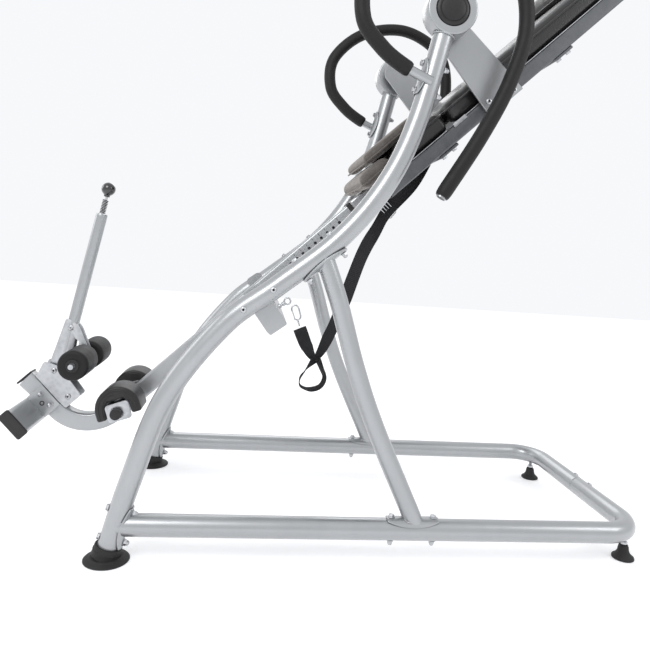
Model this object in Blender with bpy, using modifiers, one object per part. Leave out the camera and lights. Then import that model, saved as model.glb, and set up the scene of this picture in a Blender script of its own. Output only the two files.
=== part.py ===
"""Inversion table: a fixed tube frame, a swinging bed, a sliding boom and an ankle clamp.

Units are metres and Z is up. The user's head is towards +X, and left is -Y. The origin is on the
floor under the middle of the machine. Side-view pairs are (x, z), measured from the front foot for
the frame. The swinging table has its own frame at the pivot: s runs along the bed towards the head,
t stands away from the bed on the user's side.
"""
from math import atan2, cos, pi, radians, sin, sqrt

import bmesh
import bpy
from mathutils import Matrix, Vector

# ---- driving dimensions ----
ORIGIN_SHIFT = -0.5057          # the front foot's place, so that the origin is under the middle
TUBE_R = 0.0254                 # side posts and base, 2 inch tube
LEG_R = 0.0225                  # rear legs
WALL = 0.002                    # tube walls
GAP = 0.0003                    # between pieces that touch
SADDLE_GAP = 0.0010             # between a tube and the saddle plate bolted on it
SADDLE_T = 0.0035
HALF_WIDTH = 0.310              # tube centres of the side frames
RAIL_Z = 0.080                  # centre height of the base tubes
BASE_END_X = 1.311              # centre line of the rear cross tube
BASE_CORNER_R = 0.090

PIVOT = Vector((0.715, 0.0, 1.345))
RECLINE = radians(44.4)
RING_R = 0.062                  # hub ring
RING_WIDTH = 0.060
PIN_R = 0.010

BOOM_T = -0.235                 # boom centre line under the pivot
BOOM_DEPTH = 0.0470
BOOM_WIDTH = 0.0384
BOOM_BEND_R = 0.115
BOOM_END_S = -1.430             # centre line of the upturned foot end
SLEEVE_CLEARANCE = 0.0004
SLEEVE_WALL = 0.0014
SLEEVE_S = (-0.445, 0.300)
HOLE_PITCH = 0.0228
HOLE_R = 0.0045

BED_RAIL_S = (-0.385, 0.610)
BED_RAIL_SIZE = (0.040, 0.038)  # across the bed, along t
BED_RAIL_T = -0.2415            # middle of the side rails
BED_RAIL_Y = 0.215
PAD_HALF_WIDTH = 0.232
PAD_SKIRT = (0.190, -0.2222)    # outside this half width the pad comes down to this t, on the rails
PAD_T = (-0.2092, -0.1630)      # underside and top of the upholstered pads
PAD_SEAM_S = -0.143
ARM_Y = 0.2485
ARM_THICKNESS = 0.008

ROLLER_CENTRE = (-1.282, -0.0665)
ROLLER_R = 0.0395
ROLLER_Y = (0.0240, 0.1335)
HEEL_CENTRE = (-1.276, -0.231)
LEVER_PIVOT = (-1.378, -0.067)
LEVER_AXIS = (0.3832, 0.2747)   # direction of the lever tube
LEVER_LENGTH = 0.4715           # from the pivot to the tube's top
LEVER_R = 0.0155

POST_PATH = [(0.000, 0.020), (0.040, 0.180), (0.106, 0.380), (0.228, 0.553), (0.342, 0.648),
             (0.483, 0.771), (0.587, 0.911), (0.654, 1.075), (0.715, 1.345)]
LEG_PATH = [(0.447, 0.735), (0.493, 0.622), (0.546, 0.465), (0.605, 0.322), (0.716, 0.100)]
HANDLE_PATH = [(0.676, 1.166), (0.607, 1.196), (0.549, 1.236), (0.500, 1.300), (0.505, 1.400),
               (0.600, 1.492), (0.745, 1.520), (0.870, 1.455), (0.905, 1.330), (0.874, 1.190),
               (0.811, 1.050), (0.719, 0.888)]
HANDLE_Y = 0.330
STRAP_ROUTE = [(0.7740, 1.0125), (0.725, 0.948), (0.662, 0.872), (0.630, 0.812), (0.592, 0.730),
               (0.552, 0.600), (0.516, 0.500), (0.481, 0.430), (0.452, 0.462), (0.428, 0.512)]
SIDES = (("left", -1), ("right", 1))


def make_collection(name):
    group = bpy.data.collections.new(name)
    bpy.context.scene.collection.children.link(group)
    return group


def make_material(name, colour, roughness, metallic=0.0):
    mat = bpy.data.materials.new(name)
    mat.use_nodes = True
    shader = mat.node_tree.nodes["Principled BSDF"]
    shader.inputs["Base Color"].default_value = (*colour, 1.0)
    shader.inputs["Roughness"].default_value = roughness
    shader.inputs["Metallic"].default_value = metallic
    return mat


for old in list(bpy.data.objects):
    bpy.data.objects.remove(old, do_unlink=True)

parts = make_collection("inversion_table")
cutters = make_collection("cutters")

silver = make_material("silver_paint", (0.60, 0.61, 0.61), 0.35, 0.6)
zinc = make_material("zinc_plate", (0.66, 0.67, 0.69), 0.32, 1.0)
dark_grey = make_material("dark_grey_paint", (0.15, 0.16, 0.17), 0.45, 0.3)
black_steel = make_material("black_steel", (0.02, 0.02, 0.02), 0.40, 0.5)
foam = make_material("black_foam", (0.018, 0.018, 0.018), 0.75)
plastic = make_material("black_plastic", (0.025, 0.022, 0.020), 0.35)
rubber = make_material("black_rubber", (0.020, 0.020, 0.020), 0.65)
vinyl = make_material("black_vinyl", (0.020, 0.018, 0.018), 0.35)
suede = make_material("grey_suede", (0.13, 0.12, 0.11), 0.90)
webbing = make_material("black_webbing", (0.015, 0.015, 0.015), 0.80)


def make_frame(name, location, tilt=0.0, parent=None):
    """An empty that carries a group of parts; tilt turns it about Y."""
    empty = bpy.data.objects.new(name, None)
    bpy.context.scene.collection.objects.link(empty)
    empty.location = location
    empty.rotation_euler = (0.0, tilt, 0.0)
    empty.parent = parent
    return empty


base = make_frame("base_frame", (ORIGIN_SHIFT, 0.0, 0.0))
table = make_frame("table_frame", PIVOT, -RECLINE, base)


def add_mesh(name, mesh, mat, parent, location=(0, 0, 0), rotation=None, group=parts):
    obj = bpy.data.objects.new(name, mesh)
    group.objects.link(obj)
    obj.parent = parent
    obj.location = location
    if rotation is not None:
        obj.rotation_mode = "QUATERNION"
        obj.rotation_quaternion = rotation
    if mat is not None:
        mesh.materials.append(mat)
    if group is cutters:
        obj.hide_render = True
        obj.display_type = "WIRE"
    return obj


def smooth(obj, angle=35):
    obj.data.shade_smooth()
    obj.data.set_sharp_from_angle(angle=radians(angle))
    return obj


def mesh_from_bmesh(name, bm):
    mesh = bpy.data.meshes.new(name)
    bm.to_mesh(mesh)
    bm.free()
    return mesh


def box(name, size, mat, parent, location=(0, 0, 0), rotation=None, bevel=0.0, segments=2, group=parts):
    bm = bmesh.new()
    bmesh.ops.create_cube(bm, size=1.0, matrix=Matrix.Diagonal((*size, 1.0)))
    obj = add_mesh(name, mesh_from_bmesh(name, bm), mat, parent, location, rotation, group)
    if bevel:
        add_bevel(obj, bevel, segments)
    return obj


def add_bevel(obj, width, segments=2, angle=30):
    mod = obj.modifiers.new("rounded", "BEVEL")
    mod.width = width
    mod.segments = segments
    mod.limit_method = "ANGLE"
    mod.angle_limit = radians(angle)


def cylinder(name, radius, length, mat, parent, location=(0, 0, 0), rotation=None, sides=24,
             group=parts):
    """A cylinder along its own Z."""
    bm = bmesh.new()
    bmesh.ops.create_cone(bm, cap_ends=True, segments=sides, radius1=radius, radius2=radius, depth=length)
    return add_mesh(name, mesh_from_bmesh(name, bm), mat, parent, location, rotation, group)


ALONG_Y = Vector((0, 0, 1)).rotation_difference(Vector((0, 1, 0)))


def along(direction, normal=None):
    """Rotation that puts local Z on direction, or local X on direction and local Z on normal."""
    direction = Vector(direction).normalized()
    if normal is None:
        return Vector((0, 0, 1)).rotation_difference(direction)
    up = Vector(normal)
    up = (up - direction * up.dot(direction)).normalized()
    side = up.cross(direction)
    return Matrix((direction, side, up)).transposed().to_quaternion()


def turned(name, profile, mat, parent, location=(0, 0, 0), rotation=None, steps=24, group=parts):
    """A profile of (radius, height) pairs turned about local Z; it runs down its outer side."""
    bm = bmesh.new()
    ring = [bm.verts.new((radius, 0.0, height)) for radius, height in profile]
    closed = profile[0][0] > 0.0
    for first, second in zip(ring, ring[1:] + ring[:1] if closed else ring[1:]):
        bm.edges.new((first, second))
    obj = add_mesh(name, mesh_from_bmesh(name, bm), mat, parent, location, rotation, group)
    screw = obj.modifiers.new("turned", "SCREW")
    screw.steps = steps
    screw.render_steps = steps
    screw.use_merge_vertices = True
    screw.merge_threshold = 0.00001
    return obj


def curve_mesh(name, points, radius, sides, caps=False):
    """The mesh of a round tube along points."""
    curve = bpy.data.curves.new(name, "CURVE")
    curve.dimensions = "3D"
    curve.bevel_depth = radius
    curve.bevel_resolution = (sides - 4) // 2
    curve.use_fill_caps = caps
    add_spline(curve, points, False)
    return evaluated_mesh(name, curve)


def add_spline(curve, points, closed):
    spline = curve.splines.new("POLY")
    spline.points.add(len(points) - 1)
    spline.use_cyclic_u = closed
    for knot, point in zip(spline.points, points):
        knot.co = (*point, 1.0)


def evaluated_mesh(name, curve):
    """The curve's mesh with its caps welded on; the curve is removed."""
    guide = bpy.data.objects.new(name + "_curve", curve)
    bpy.context.scene.collection.objects.link(guide)
    bpy.context.view_layer.update()
    shape = guide.evaluated_get(bpy.context.evaluated_depsgraph_get())
    mesh = bpy.data.meshes.new_from_object(shape)
    bpy.data.objects.remove(guide, do_unlink=True)
    bm = bmesh.new()
    bm.from_mesh(mesh)
    bmesh.ops.remove_doubles(bm, verts=bm.verts, dist=0.00002)
    bm.to_mesh(mesh)
    bm.free()
    return mesh


def thicken(obj, thickness, offset):
    mod = obj.modifiers.new("sheet", "SOLIDIFY")
    mod.thickness = thickness
    mod.offset = offset
    mod.use_even_offset = True
    return obj


def tube(name, points, radius, mat, parent, wall=WALL, sides=12, **options):
    """A tube with open ends and a real wall."""
    obj = add_mesh(name, curve_mesh(name, points, radius, sides, **options), mat, parent)
    return smooth(thicken(obj, wall, -1.0))


def rod(name, points, radius, mat, parent, sides=12, **options):
    mesh = curve_mesh(name, points, radius, sides, caps=True, **options)
    return smooth(add_mesh(name, mesh, mat, parent))


def plate(name, outline, thickness, mat, parent, location=(0, 0, 0), rotation=None, group=parts):
    """A flat plate: the outline is in local XY, the thickness along Z."""
    curve = bpy.data.curves.new(name, "CURVE")
    curve.dimensions = "2D"
    curve.fill_mode = "BOTH"
    curve.extrude = thickness / 2
    add_spline(curve, [(x, y, 0.0) for x, y in outline], True)
    return add_mesh(name, evaluated_mesh(name, curve), mat, parent, location, rotation, group)


def rounded_outline(corners, radius, steps=4):
    """Corner points with each corner rounded, as a closed outline."""
    outline = []
    count = len(corners)
    for index, corner in enumerate(corners):
        here = Vector(corner)
        before = (Vector(corners[index - 1]) - here).normalized()
        after = (Vector(corners[(index + 1) % count]) - here).normalized()
        half = before.angle(after) / 2
        reach = radius / (sin(half) / cos(half))
        middle = here + (before + after).normalized() * (radius / sin(half))
        start = here + before * reach - middle
        turn = (pi - 2 * half) * (1 if before.x * after.y - before.y * after.x < 0 else -1)
        for step in range(steps + 1):
            angle = turn * step / steps
            spot = Vector((start.x * cos(angle) - start.y * sin(angle),
                           start.x * sin(angle) + start.y * cos(angle)))
            outline.append(tuple(middle + spot))
    return outline


def arc(centre, radius, start, end, steps):
    """Points on an arc; the angles are in degrees."""
    return [(centre[0] + radius * cos(radians(start + (end - start) * i / steps)),
             centre[1] + radius * sin(radians(start + (end - start) * i / steps)))
            for i in range(steps + 1)]


def boolean(obj, other, operation):
    mod = obj.modifiers.new(operation.lower(), "BOOLEAN")
    mod.operation = operation
    mod.solver = "EXACT"
    mod.object = other


def cut(obj, *others):
    for other in others:
        boolean(obj, other, "DIFFERENCE")
    return obj


def join(obj, *others):
    """Weld other shapes on: they become guides that the build leaves out."""
    for other in others:
        for group in other.users_collection:
            group.objects.unlink(other)
        cutters.objects.link(other)
        other.hide_render = True
        other.display_type = "WIRE"
        boolean(obj, other, "UNION")
    return obj


def saddle(name, radius, length, half_angle, mat, parent, location, rotation):
    """A lens-shaped plate wrapped on a tube: local X is the tube's axis, local Z faces out."""
    bm = bmesh.new()
    bmesh.ops.create_grid(bm, x_segments=7, y_segments=6, size=1.0)
    for vert in bm.verts:
        along_tube, around = vert.co.x, vert.co.y
        angle = around * half_angle * sqrt(1.0 - 0.72 * along_tube ** 2)
        vert.co = (along_tube * length / 2, radius * sin(angle), radius * cos(angle))
    obj = add_mesh(name, mesh_from_bmesh(name, bm), mat, parent, location, rotation)
    return thicken(obj, SADDLE_T, 1.0)


def side_view(path, y):
    return [(x, y, z) for x, z in path]


def smooth_route(route, count):
    """Evenly spaced points (x, z) on a smooth curve through the route's points."""
    line = [Vector(point) for point in route]
    ends = [line[0] * 2 - line[1]] + line + [line[-1] * 2 - line[-2]]
    points = []
    for index in range(count):
        place = (len(line) - 1) * index / (count - 1)
        start = min(int(place), len(line) - 2)
        u = place - start
        a, b, c, d = ends[start:start + 4]
        points.append(tuple(0.5 * ((2 * b) + (c - a) * u + (2 * a - 5 * b + 4 * c - d) * u ** 2
                                   + (3 * b - a - 3 * c + d) * u ** 3)))
    return points


def on_route(points, z, y):
    """The place and direction where a rising route reaches the height z."""
    for low, high in zip(points, points[1:]):
        if low[1] <= z <= high[1]:
            share = (z - low[1]) / (high[1] - low[1])
            run = Vector((high[0] - low[0], 0.0, high[1] - low[1])).normalized()
            return Vector((low[0] + (high[0] - low[0]) * share, y, z)), run
    return None


POST = smooth_route(POST_PATH, 21)
LEG = smooth_route(LEG_PATH, 9)
HANDLE = smooth_route(HANDLE_PATH, 23)


# ---- fixed frame ----
def build_side_frames():
    for side, sign in SIDES:
        y = sign * HALF_WIDTH
        post = tube(f"{side}_post", side_view(POST, y), TUBE_R, silver, base)
        cut(post, cylinder(f"{side}_ring_space", RING_R + GAP, 0.1, None, base, (PIVOT.x, y, PIVOT.z),
                           ALONG_Y, 48, cutters))
        build_hub(side, sign, y)
        build_leg(side, y)
        build_base_half(side, sign)
        build_handlebar(side, sign)
        build_front_foot(side, y)


def build_hub(side, sign, y):
    """The hub ring holds the bearing, whose bore is open towards the bed."""
    half = RING_WIDTH / 2
    bore = PIN_R + 0.0004
    profile = [(RING_R - 0.004, half), (RING_R, half - 0.004), (RING_R, -half + 0.004),
               (RING_R - 0.004, -half), (bore, -half), (bore, half - 0.014), (0.0420, half - 0.014),
               (0.0420, half)]
    outward = along((0, sign, 0))
    ring = turned(f"{side}_hub_ring", profile, silver, base, (PIVOT.x, y, PIVOT.z), outward, 24)
    smooth(ring)
    cap_profile = [(0.0, half + 0.006), (0.030, half + 0.004), (0.0400, half - 0.001),
                   (0.0415, half - 0.004), (0.0415, half - 0.0137), (0.0, half - 0.0137)]
    smooth(turned(f"{side}_hub_cap", cap_profile, plastic, base, (PIVOT.x, y, PIVOT.z), outward, 24))


def build_leg(side, y):
    leg = tube(f"{side}_rear_leg", side_view(LEG, y), LEG_R, silver, base)
    upper, post_run = on_route(POST, 0.727, y)
    lower = Vector((0.712, y, RAIL_Z))
    reach = TUBE_R + SADDLE_GAP
    cut(leg, cylinder(f"{side}_leg_top_space", reach + 0.001, 0.4, None, base, upper, along(post_run),
                      32, cutters),
        cylinder(f"{side}_leg_foot_space", reach + 0.001, 0.4, None, base, lower, along((1, 0, 0)),
                 32, cutters))
    under = Vector((post_run.z, 0.0, -post_run.x))
    join(leg, saddle(f"{side}_leg_top_saddle", reach, 0.128, radians(62), silver, base, upper,
                     along(post_run, under)),
         saddle(f"{side}_leg_foot_saddle", reach, 0.128, radians(62), silver, base, lower,
                along((1, 0, 0), (0, 0, 1))))


def rail_path(sign):
    y = sign * HALF_WIDTH
    corner = (BASE_END_X - BASE_CORNER_R, y - sign * BASE_CORNER_R)
    points = [(0.0, y, RAIL_Z), (corner[0], y, RAIL_Z)]
    steps = 8
    for step in range(1, steps + 1):
        angle = pi / 2 * step / steps
        points.append((corner[0] + BASE_CORNER_R * sin(angle),
                       corner[1] + sign * BASE_CORNER_R * cos(angle), RAIL_Z))
    points.append((BASE_END_X, sign * GAP / 2, RAIL_Z))
    return points


def rear_foot_place(sign):
    """The levelling feet stand under the rounded corners."""
    angle = radians(50)
    return (BASE_END_X - BASE_CORNER_R * (1 - sin(angle)),
            sign * (HALF_WIDTH - BASE_CORNER_R * (1 - cos(angle))))


def build_base_half(side, sign):
    rail = tube(f"{side}_base_rail", rail_path(sign), TUBE_R, silver, base)
    centre, run = on_route(POST, RAIL_Z, sign * HALF_WIDTH)
    behind = Vector((run.z, 0.0, -run.x))
    reach = TUBE_R + SADDLE_GAP
    cut(rail, cylinder(f"{side}_rail_end_space", reach + 0.001, 0.3, None, base, centre, along(run), 32,
                       cutters),
        box(f"{side}_rail_front_space", (0.1, 0.1, 0.1), None, base, centre - Vector((0.05, 0, 0)),
            group=cutters))
    join(rail, saddle(f"{side}_rail_saddle", reach, 0.096, radians(62), silver, base, centre,
                      along(run, behind)))
    x, y = rear_foot_place(sign)
    cut(rail, cylinder(f"{side}_stem_hole", 0.0053, 0.05, None, base, (x, y, RAIL_Z - 0.028), None, 16,
                       cutters))
    build_rear_foot(side, x, y)


def build_rear_foot(side, x, y):
    """A rubber bell moulded on a threaded stem that screws into the base tube."""
    profile = [(0.0, 0.072), (0.005, 0.072), (0.005, 0.036), (0.011, 0.036), (0.013, 0.030),
               (0.0135, 0.022), (0.020, 0.012), (0.027, 0.007), (0.028, 0.0), (0.0, 0.0)]
    smooth(turned(f"{side}_rear_foot", profile, rubber, base, (x, y, 0.0), None, 16), 50)


def build_front_foot(side, y):
    """A flared rubber boot on the post's lower end, with a flat sole."""
    lean = along((0.040, 0.0, 0.160))
    boot = turned(f"{side}_front_foot", [(0.0, 0.010), (0.034, 0.010), (0.040, 0.007), (0.051, 0.003),
                                         (0.052, 0.0), (0.0, 0.0)], rubber, base, (0.0, y, 0.0))
    sleeve = turned(f"{side}_boot_sleeve", [(0.0, 0.013), (0.0320, 0.013), (0.0335, -0.010),
                                            (0.0, -0.010)], rubber, base, (0.0, y, 0.020), lean)
    join(boot, sleeve)
    cut(boot, cylinder(f"{side}_boot_bore", TUBE_R + 0.0006, 0.10, None, base,
                       Vector((0.0, y, 0.0194)) + lean @ Vector((0, 0, 0.05)), lean, 32, cutters))
    smooth(boot)


def build_handlebar(side, sign):
    """A bent steel bar in a foam grip; its bracket wraps the front of the post."""
    y = sign * HANDLE_Y
    bar = tube(f"{side}_handlebar", side_view(HANDLE, y), 0.0123, silver, base, wall=0.0015,
               sides=8)
    centre, run = on_route(POST, 1.175, sign * HALF_WIDTH)
    front = Vector((-run.z, 0.0, run.x))
    reach = TUBE_R + SADDLE_GAP + 0.0006
    cut(bar, cylinder(f"{side}_bar_end_space", reach + 0.001, 0.3, None, base, centre, along(run), 32,
                      cutters))
    join(bar, saddle(f"{side}_bar_bracket", reach, 0.090, radians(55), silver, base, centre,
                     along(run, front)))
    grip_start = tuple((Vector(HANDLE[1]) + Vector(HANDLE[2])) / 2)
    grip = curve_mesh(f"{side}_grip", side_view([grip_start] + HANDLE[2:], y), 0.0192, 10)
    smooth(thicken(add_mesh(f"{side}_grip", grip, foam, base), 0.0048, -1.0))


def build_cross_brace():
    """A folded channel between the posts, under the boom, with an end plate on each post."""
    at_post, run = on_route(POST, 0.6155, 0.0)
    down = Vector((run.z, 0.0, -run.x))
    half_length = HALF_WIDTH - TUBE_R - 0.0045
    centre = at_post + down * 0.0700
    turn = along(run, -down)
    brace = box("cross_brace", (0.050, 2 * half_length, 0.046), silver, base, centre, turn, 0.004)
    cut(brace, box("brace_channel", (0.044, 2 * half_length - 0.008, 0.080), None, base,
                   centre + down * 0.020, turn, group=cutters))
    for side, sign in SIDES:
        corners = [(-0.026, 0.030), (0.026, 0.030), (0.026, -0.092), (-0.026, -0.092)]
        join(brace, plate(f"{side}_brace_plate", rounded_outline(corners, 0.012), 0.004, silver, base,
                          at_post + Vector((0, sign * (half_length + 0.0015), 0)),
                          turn @ along((0, -1, 0))))
    smooth(brace)
    bumper = box("boom_rest", (0.040, 0.060, 0.0100), rubber, base, centre - down * 0.0284, turn, 0.003)
    smooth(bumper)
    return centre, down, run


def build_strap_eye(centre, down, run):
    """The eye that takes the tether's spring hook, on the rear face of the brace."""
    face = centre + run * (0.025 + 0.0004) + down * 0.004
    eye = cylinder("strap_eye", 0.004, 0.022, zinc, base, face + run * 0.011, along(run), 12)
    bm = bmesh.new()
    bmesh.ops.create_circle(bm, segments=6, radius=0.0025, matrix=Matrix.Translation((0.009, 0, 0))
                            @ Matrix.Rotation(pi / 2, 4, "X"))
    loop = add_mesh("eye_loop", mesh_from_bmesh("eye_loop", bm), zinc, base, face + run * 0.029, ALONG_Y)
    screw = loop.modifiers.new("turned", "SCREW")
    screw.steps = 12
    screw.render_steps = 12
    screw.use_merge_vertices = True
    screw.merge_threshold = 0.00001
    join(eye, loop)
    smooth(eye)


def build_base_joiner():
    """The spigot inside the seam of the rear cross tube."""
    ends = [(BASE_END_X, -0.075, RAIL_Z), (BASE_END_X, 0.075, RAIL_Z)]
    tube("base_joiner", ends, TUBE_R - WALL - 0.001, zinc, base, sides=16)


# ---- swinging bed ----
def build_pivots():
    for side, sign in SIDES:
        y = sign * ARM_Y
        outward = along((0, sign, 0))
        top = arc((0, 0), 0.046, 155, 25, 10)
        outline = [(-0.058, -0.2640), (-0.052, -0.150)] + top + [(0.052, -0.150), (0.058, -0.2640)]
        arm = plate(f"{side}_pivot_arm", outline, ARM_THICKNESS, silver, table, (0, y, 0),
                    along((1, 0, 0), (0, -1, 0)))
        add_bevel(arm, 0.0015, 1, 60)
        start = ARM_THICKNESS / 2 + GAP
        reach = HALF_WIDTH + RING_WIDTH / 2 - 0.015 - ARM_Y
        profile = [(0.0, reach), (PIN_R - 0.001, reach), (PIN_R, reach - 0.001), (PIN_R, start + 0.008),
                   (0.022, start + 0.007), (0.023, start), (0.0, start)]
        smooth(turned(f"{side}_pivot_pin", profile, zinc, table, (0, y, 0), outward, 24))


def build_bed_frame():
    length = BED_RAIL_S[1] - BED_RAIL_S[0]
    middle = (BED_RAIL_S[0] + BED_RAIL_S[1]) / 2
    for side, sign in SIDES:
        rail = box(f"{side}_bed_rail", (length, *BED_RAIL_SIZE), dark_grey, table,
                   (middle, sign * BED_RAIL_Y, BED_RAIL_T), bevel=0.003)
        inner = (length + 0.1, BED_RAIL_SIZE[0] - 2 * WALL, BED_RAIL_SIZE[1] - 2 * WALL)
        cut(rail, box(f"{side}_bed_rail_bore", inner, None, table, (middle, sign * BED_RAIL_Y, BED_RAIL_T),
                      group=cutters))
        smooth(rail)
    bar_t = BED_RAIL_T - BED_RAIL_SIZE[1] / 2 - GAP - 0.004
    for name, s in (("lower", -0.190), ("upper", 0.220)):
        box(f"{name}_bed_crossbar", (0.060, 2 * BED_RAIL_Y + 0.030, 0.008), dark_grey, table,
            (s, 0, bar_t), bevel=0.002, segments=1)


def rectangle_solid(name, length, width, depth, mat, s, t, bevel, group=parts):
    return box(name, (length, width, depth), mat, table, (s, 0, t), bevel=bevel, group=group)


def build_sleeve():
    """The boom slides in this sleeve, under the middle of the bed."""
    length = SLEEVE_S[1] - SLEEVE_S[0]
    middle = (SLEEVE_S[0] + SLEEVE_S[1]) / 2
    inner_w = BOOM_WIDTH + 2 * SLEEVE_CLEARANCE
    inner_d = BOOM_DEPTH + 2 * SLEEVE_CLEARANCE
    sleeve = rectangle_solid("boom_sleeve", length, inner_w + 2 * SLEEVE_WALL, inner_d + 2 * SLEEVE_WALL,
                             silver, middle, BOOM_T, 0.004)
    bore = rectangle_solid("sleeve_bore", length + 0.1, inner_w, inner_d, None, middle, BOOM_T, 0.003,
                           cutters)
    pin_hole = cylinder("selector_hole", 0.0054, 0.03, None, table, (-0.355, -0.025, BOOM_T), ALONG_Y, 16,
                        cutters)
    cut(sleeve, bore, pin_hole)
    smooth(sleeve)
    collar_s = SLEEVE_S[0] - GAP - 0.007
    collar = rectangle_solid("sleeve_collar", 0.014, inner_w + 0.008, inner_d + 0.008, plastic, collar_s,
                             BOOM_T, 0.004)
    cut(collar, rectangle_solid("collar_bore", 0.05, inner_w, inner_d, None, collar_s, BOOM_T, 0.003,
                                cutters))
    smooth(collar)
    tip = -BOOM_WIDTH / 2 - SLEEVE_CLEARANCE
    profile = [(0.0, 0.062), (0.012, 0.060), (0.016, 0.054), (0.016, 0.036), (0.010, 0.030),
               (0.008, 0.012), (0.008, 0.0022), (0.005, 0.0020), (0.005, 0.0), (0.0, 0.0)]
    knob = turned("selector_pin", profile, black_steel, table, (-0.355, tip, BOOM_T), along((0, -1, 0)),
                  20)
    smooth(knob)


def build_pads():
    """Plain closed solids of the upholstered pieces; the big pads bridge the sleeve, on side skirts."""

    def pad(name, start, end, low, high, half_width, bevel, mat=vinyl):
        size = (end - start, 2 * half_width, high - low)
        return smooth(box(name, size, mat, table, ((start + end) / 2, 0, (low + high) / 2), bevel=bevel,
                          segments=3), 60)

    skirt_y, skirt_t = PAD_SKIRT
    for name, start, end in (("back_pad", PAD_SEAM_S + 0.0006, 0.620), ("lower_pad", -0.302, PAD_SEAM_S - 0.0006)):
        cover = pad(name, start, end, skirt_t, PAD_T[1], PAD_HALF_WIDTH, 0.014)
        channel = (end - start + 0.1, 2 * skirt_y, 2 * (PAD_T[0] - skirt_t))
        cut(cover, box(name + "_channel", channel, None, table, ((start + end) / 2, 0, skirt_t), group=cutters))
    pad("hip_cushion", -0.418, -0.304, PAD_T[0], -0.1655, 0.180, 0.020, suede)
    pad("lumbar_cushion", -0.370, -0.165, PAD_T[1] + GAP, -0.1280, 0.170, 0.016, suede)
    pad("head_pillow", 0.400, 0.580, PAD_T[1] + GAP, -0.112, 0.150, 0.022, vinyl)


# ---- boom ----
def boom_path():
    """Straight down the bed, then a quarter turn up to the foot rest."""
    centre = (BOOM_END_S + BOOM_BEND_R, BOOM_T + BOOM_BEND_R)
    points = [(0.120, BOOM_T)]
    points += arc(centre, BOOM_BEND_R, 270, 180, 10)
    points.append((BOOM_END_S - 0.004, -0.008))
    return [(s, 0.0, t) for s, t in points]


def build_boom():
    profile = bpy.data.curves.new("boom_section", "CURVE")
    profile.dimensions = "2D"
    half_w, half_d = BOOM_WIDTH / 2, BOOM_DEPTH / 2
    outline = rounded_outline([(-half_w, -half_d), (half_w, -half_d), (half_w, half_d),
                               (-half_w, half_d)], 0.007, 2)
    add_spline(profile, [(x, y, 0.0) for x, y in reversed(outline)], True)
    section = bpy.data.objects.new("boom_section", profile)
    cutters.objects.link(section)
    section.hide_render = True
    section.display_type = "WIRE"
    curve = bpy.data.curves.new("boom_line", "CURVE")
    curve.dimensions = "3D"
    curve.bevel_mode = "OBJECT"
    curve.bevel_object = section
    curve.twist_mode = "Z_UP"
    path = boom_path()
    add_spline(curve, path, False)
    boom = add_mesh("boom", evaluated_mesh("boom", curve), silver, table)
    thicken(boom, WALL, -1.0)
    for index in range(9):
        s = -0.505 - HOLE_PITCH * index
        cut(boom, cylinder(f"boom_hole_{index}", HOLE_R, 0.010, None, table,
                           (s, -half_w, BOOM_T), ALONG_Y, 8, cutters))
    cut(boom, cylinder("heel_bar_space", 0.0129, 0.10, None, table, (HEEL_CENTRE[0], 0, HEEL_CENTRE[1]),
                       ALONG_Y, 20, cutters))
    smooth(boom)
    end_s, end_t = path[-1][0], path[-1][2]
    box("boom_end_cap", (BOOM_DEPTH + 0.001, BOOM_WIDTH + 0.001, 0.005), plastic, table,
        (end_s, 0, end_t + 0.0025 + 0.0020), bevel=0.0015, segments=1)


def build_foot_rest():
    """A flat bar across the foot end, held by a bracket that wraps the boom."""
    boom_face = BOOM_END_S - BOOM_DEPTH / 2
    centre_s, centre_t = boom_face - 0.0200, -0.085
    bar = box("foot_rest", (0.028, 0.300, 0.074), silver, table, (centre_s, 0, centre_t), bevel=0.008)
    cut(bar, box("foot_rest_bore", (0.023, 0.400, 0.069), None, table, (centre_s, 0, centre_t),
                 bevel=0.006, group=cutters))
    for side, sign in SIDES:
        y = sign * (BOOM_WIDTH / 2 + 0.0010 + 0.002)
        cheek = box(f"{side}_foot_rest_cheek", (0.052, 0.004, 0.072), silver, table,
                    (boom_face + 0.0185, y, centre_t), bevel=0.001, segments=1)
        join(bar, cheek)
        cap = box(f"{side}_foot_rest_cap", (0.031, 0.012, 0.077), plastic, table,
                  (centre_s, sign * (0.150 + 0.006 + GAP), centre_t), bevel=0.0045, segments=2)
        smooth(cap)
    smooth(bar)


def build_ankle_bracket():
    """Two welded cheeks on the boom's upturned end; the lever turns between them."""
    face = BOOM_END_S + BOOM_DEPTH / 2 + GAP
    bracket = box("ankle_bracket", (0.004, 0.050, 0.096), zinc, table, (face + 0.002, 0, -0.067))
    for side, sign in SIDES:
        outline = rounded_outline([(0.0, -0.138), (0.0, -0.022), (0.040, -0.004), (0.062, -0.040),
                                   (0.052, -0.138)], 0.006, 3)
        cheek = plate(f"{side}_bracket_cheek", outline, 0.004, zinc, table,
                      (face + 0.001, sign * 0.0235, 0), along((1, 0, 0), (0, -1, 0)))
        join(bracket, cheek)


def lever_point(distance, offset=0.0):
    """A point (s, t) along the lever's tube from its pivot."""
    unit = Vector(LEVER_AXIS).normalized()
    side = Vector((-unit.y, unit.x))
    spot = Vector(LEVER_PIVOT) + unit * distance + side * offset
    return spot.x, spot.y


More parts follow.
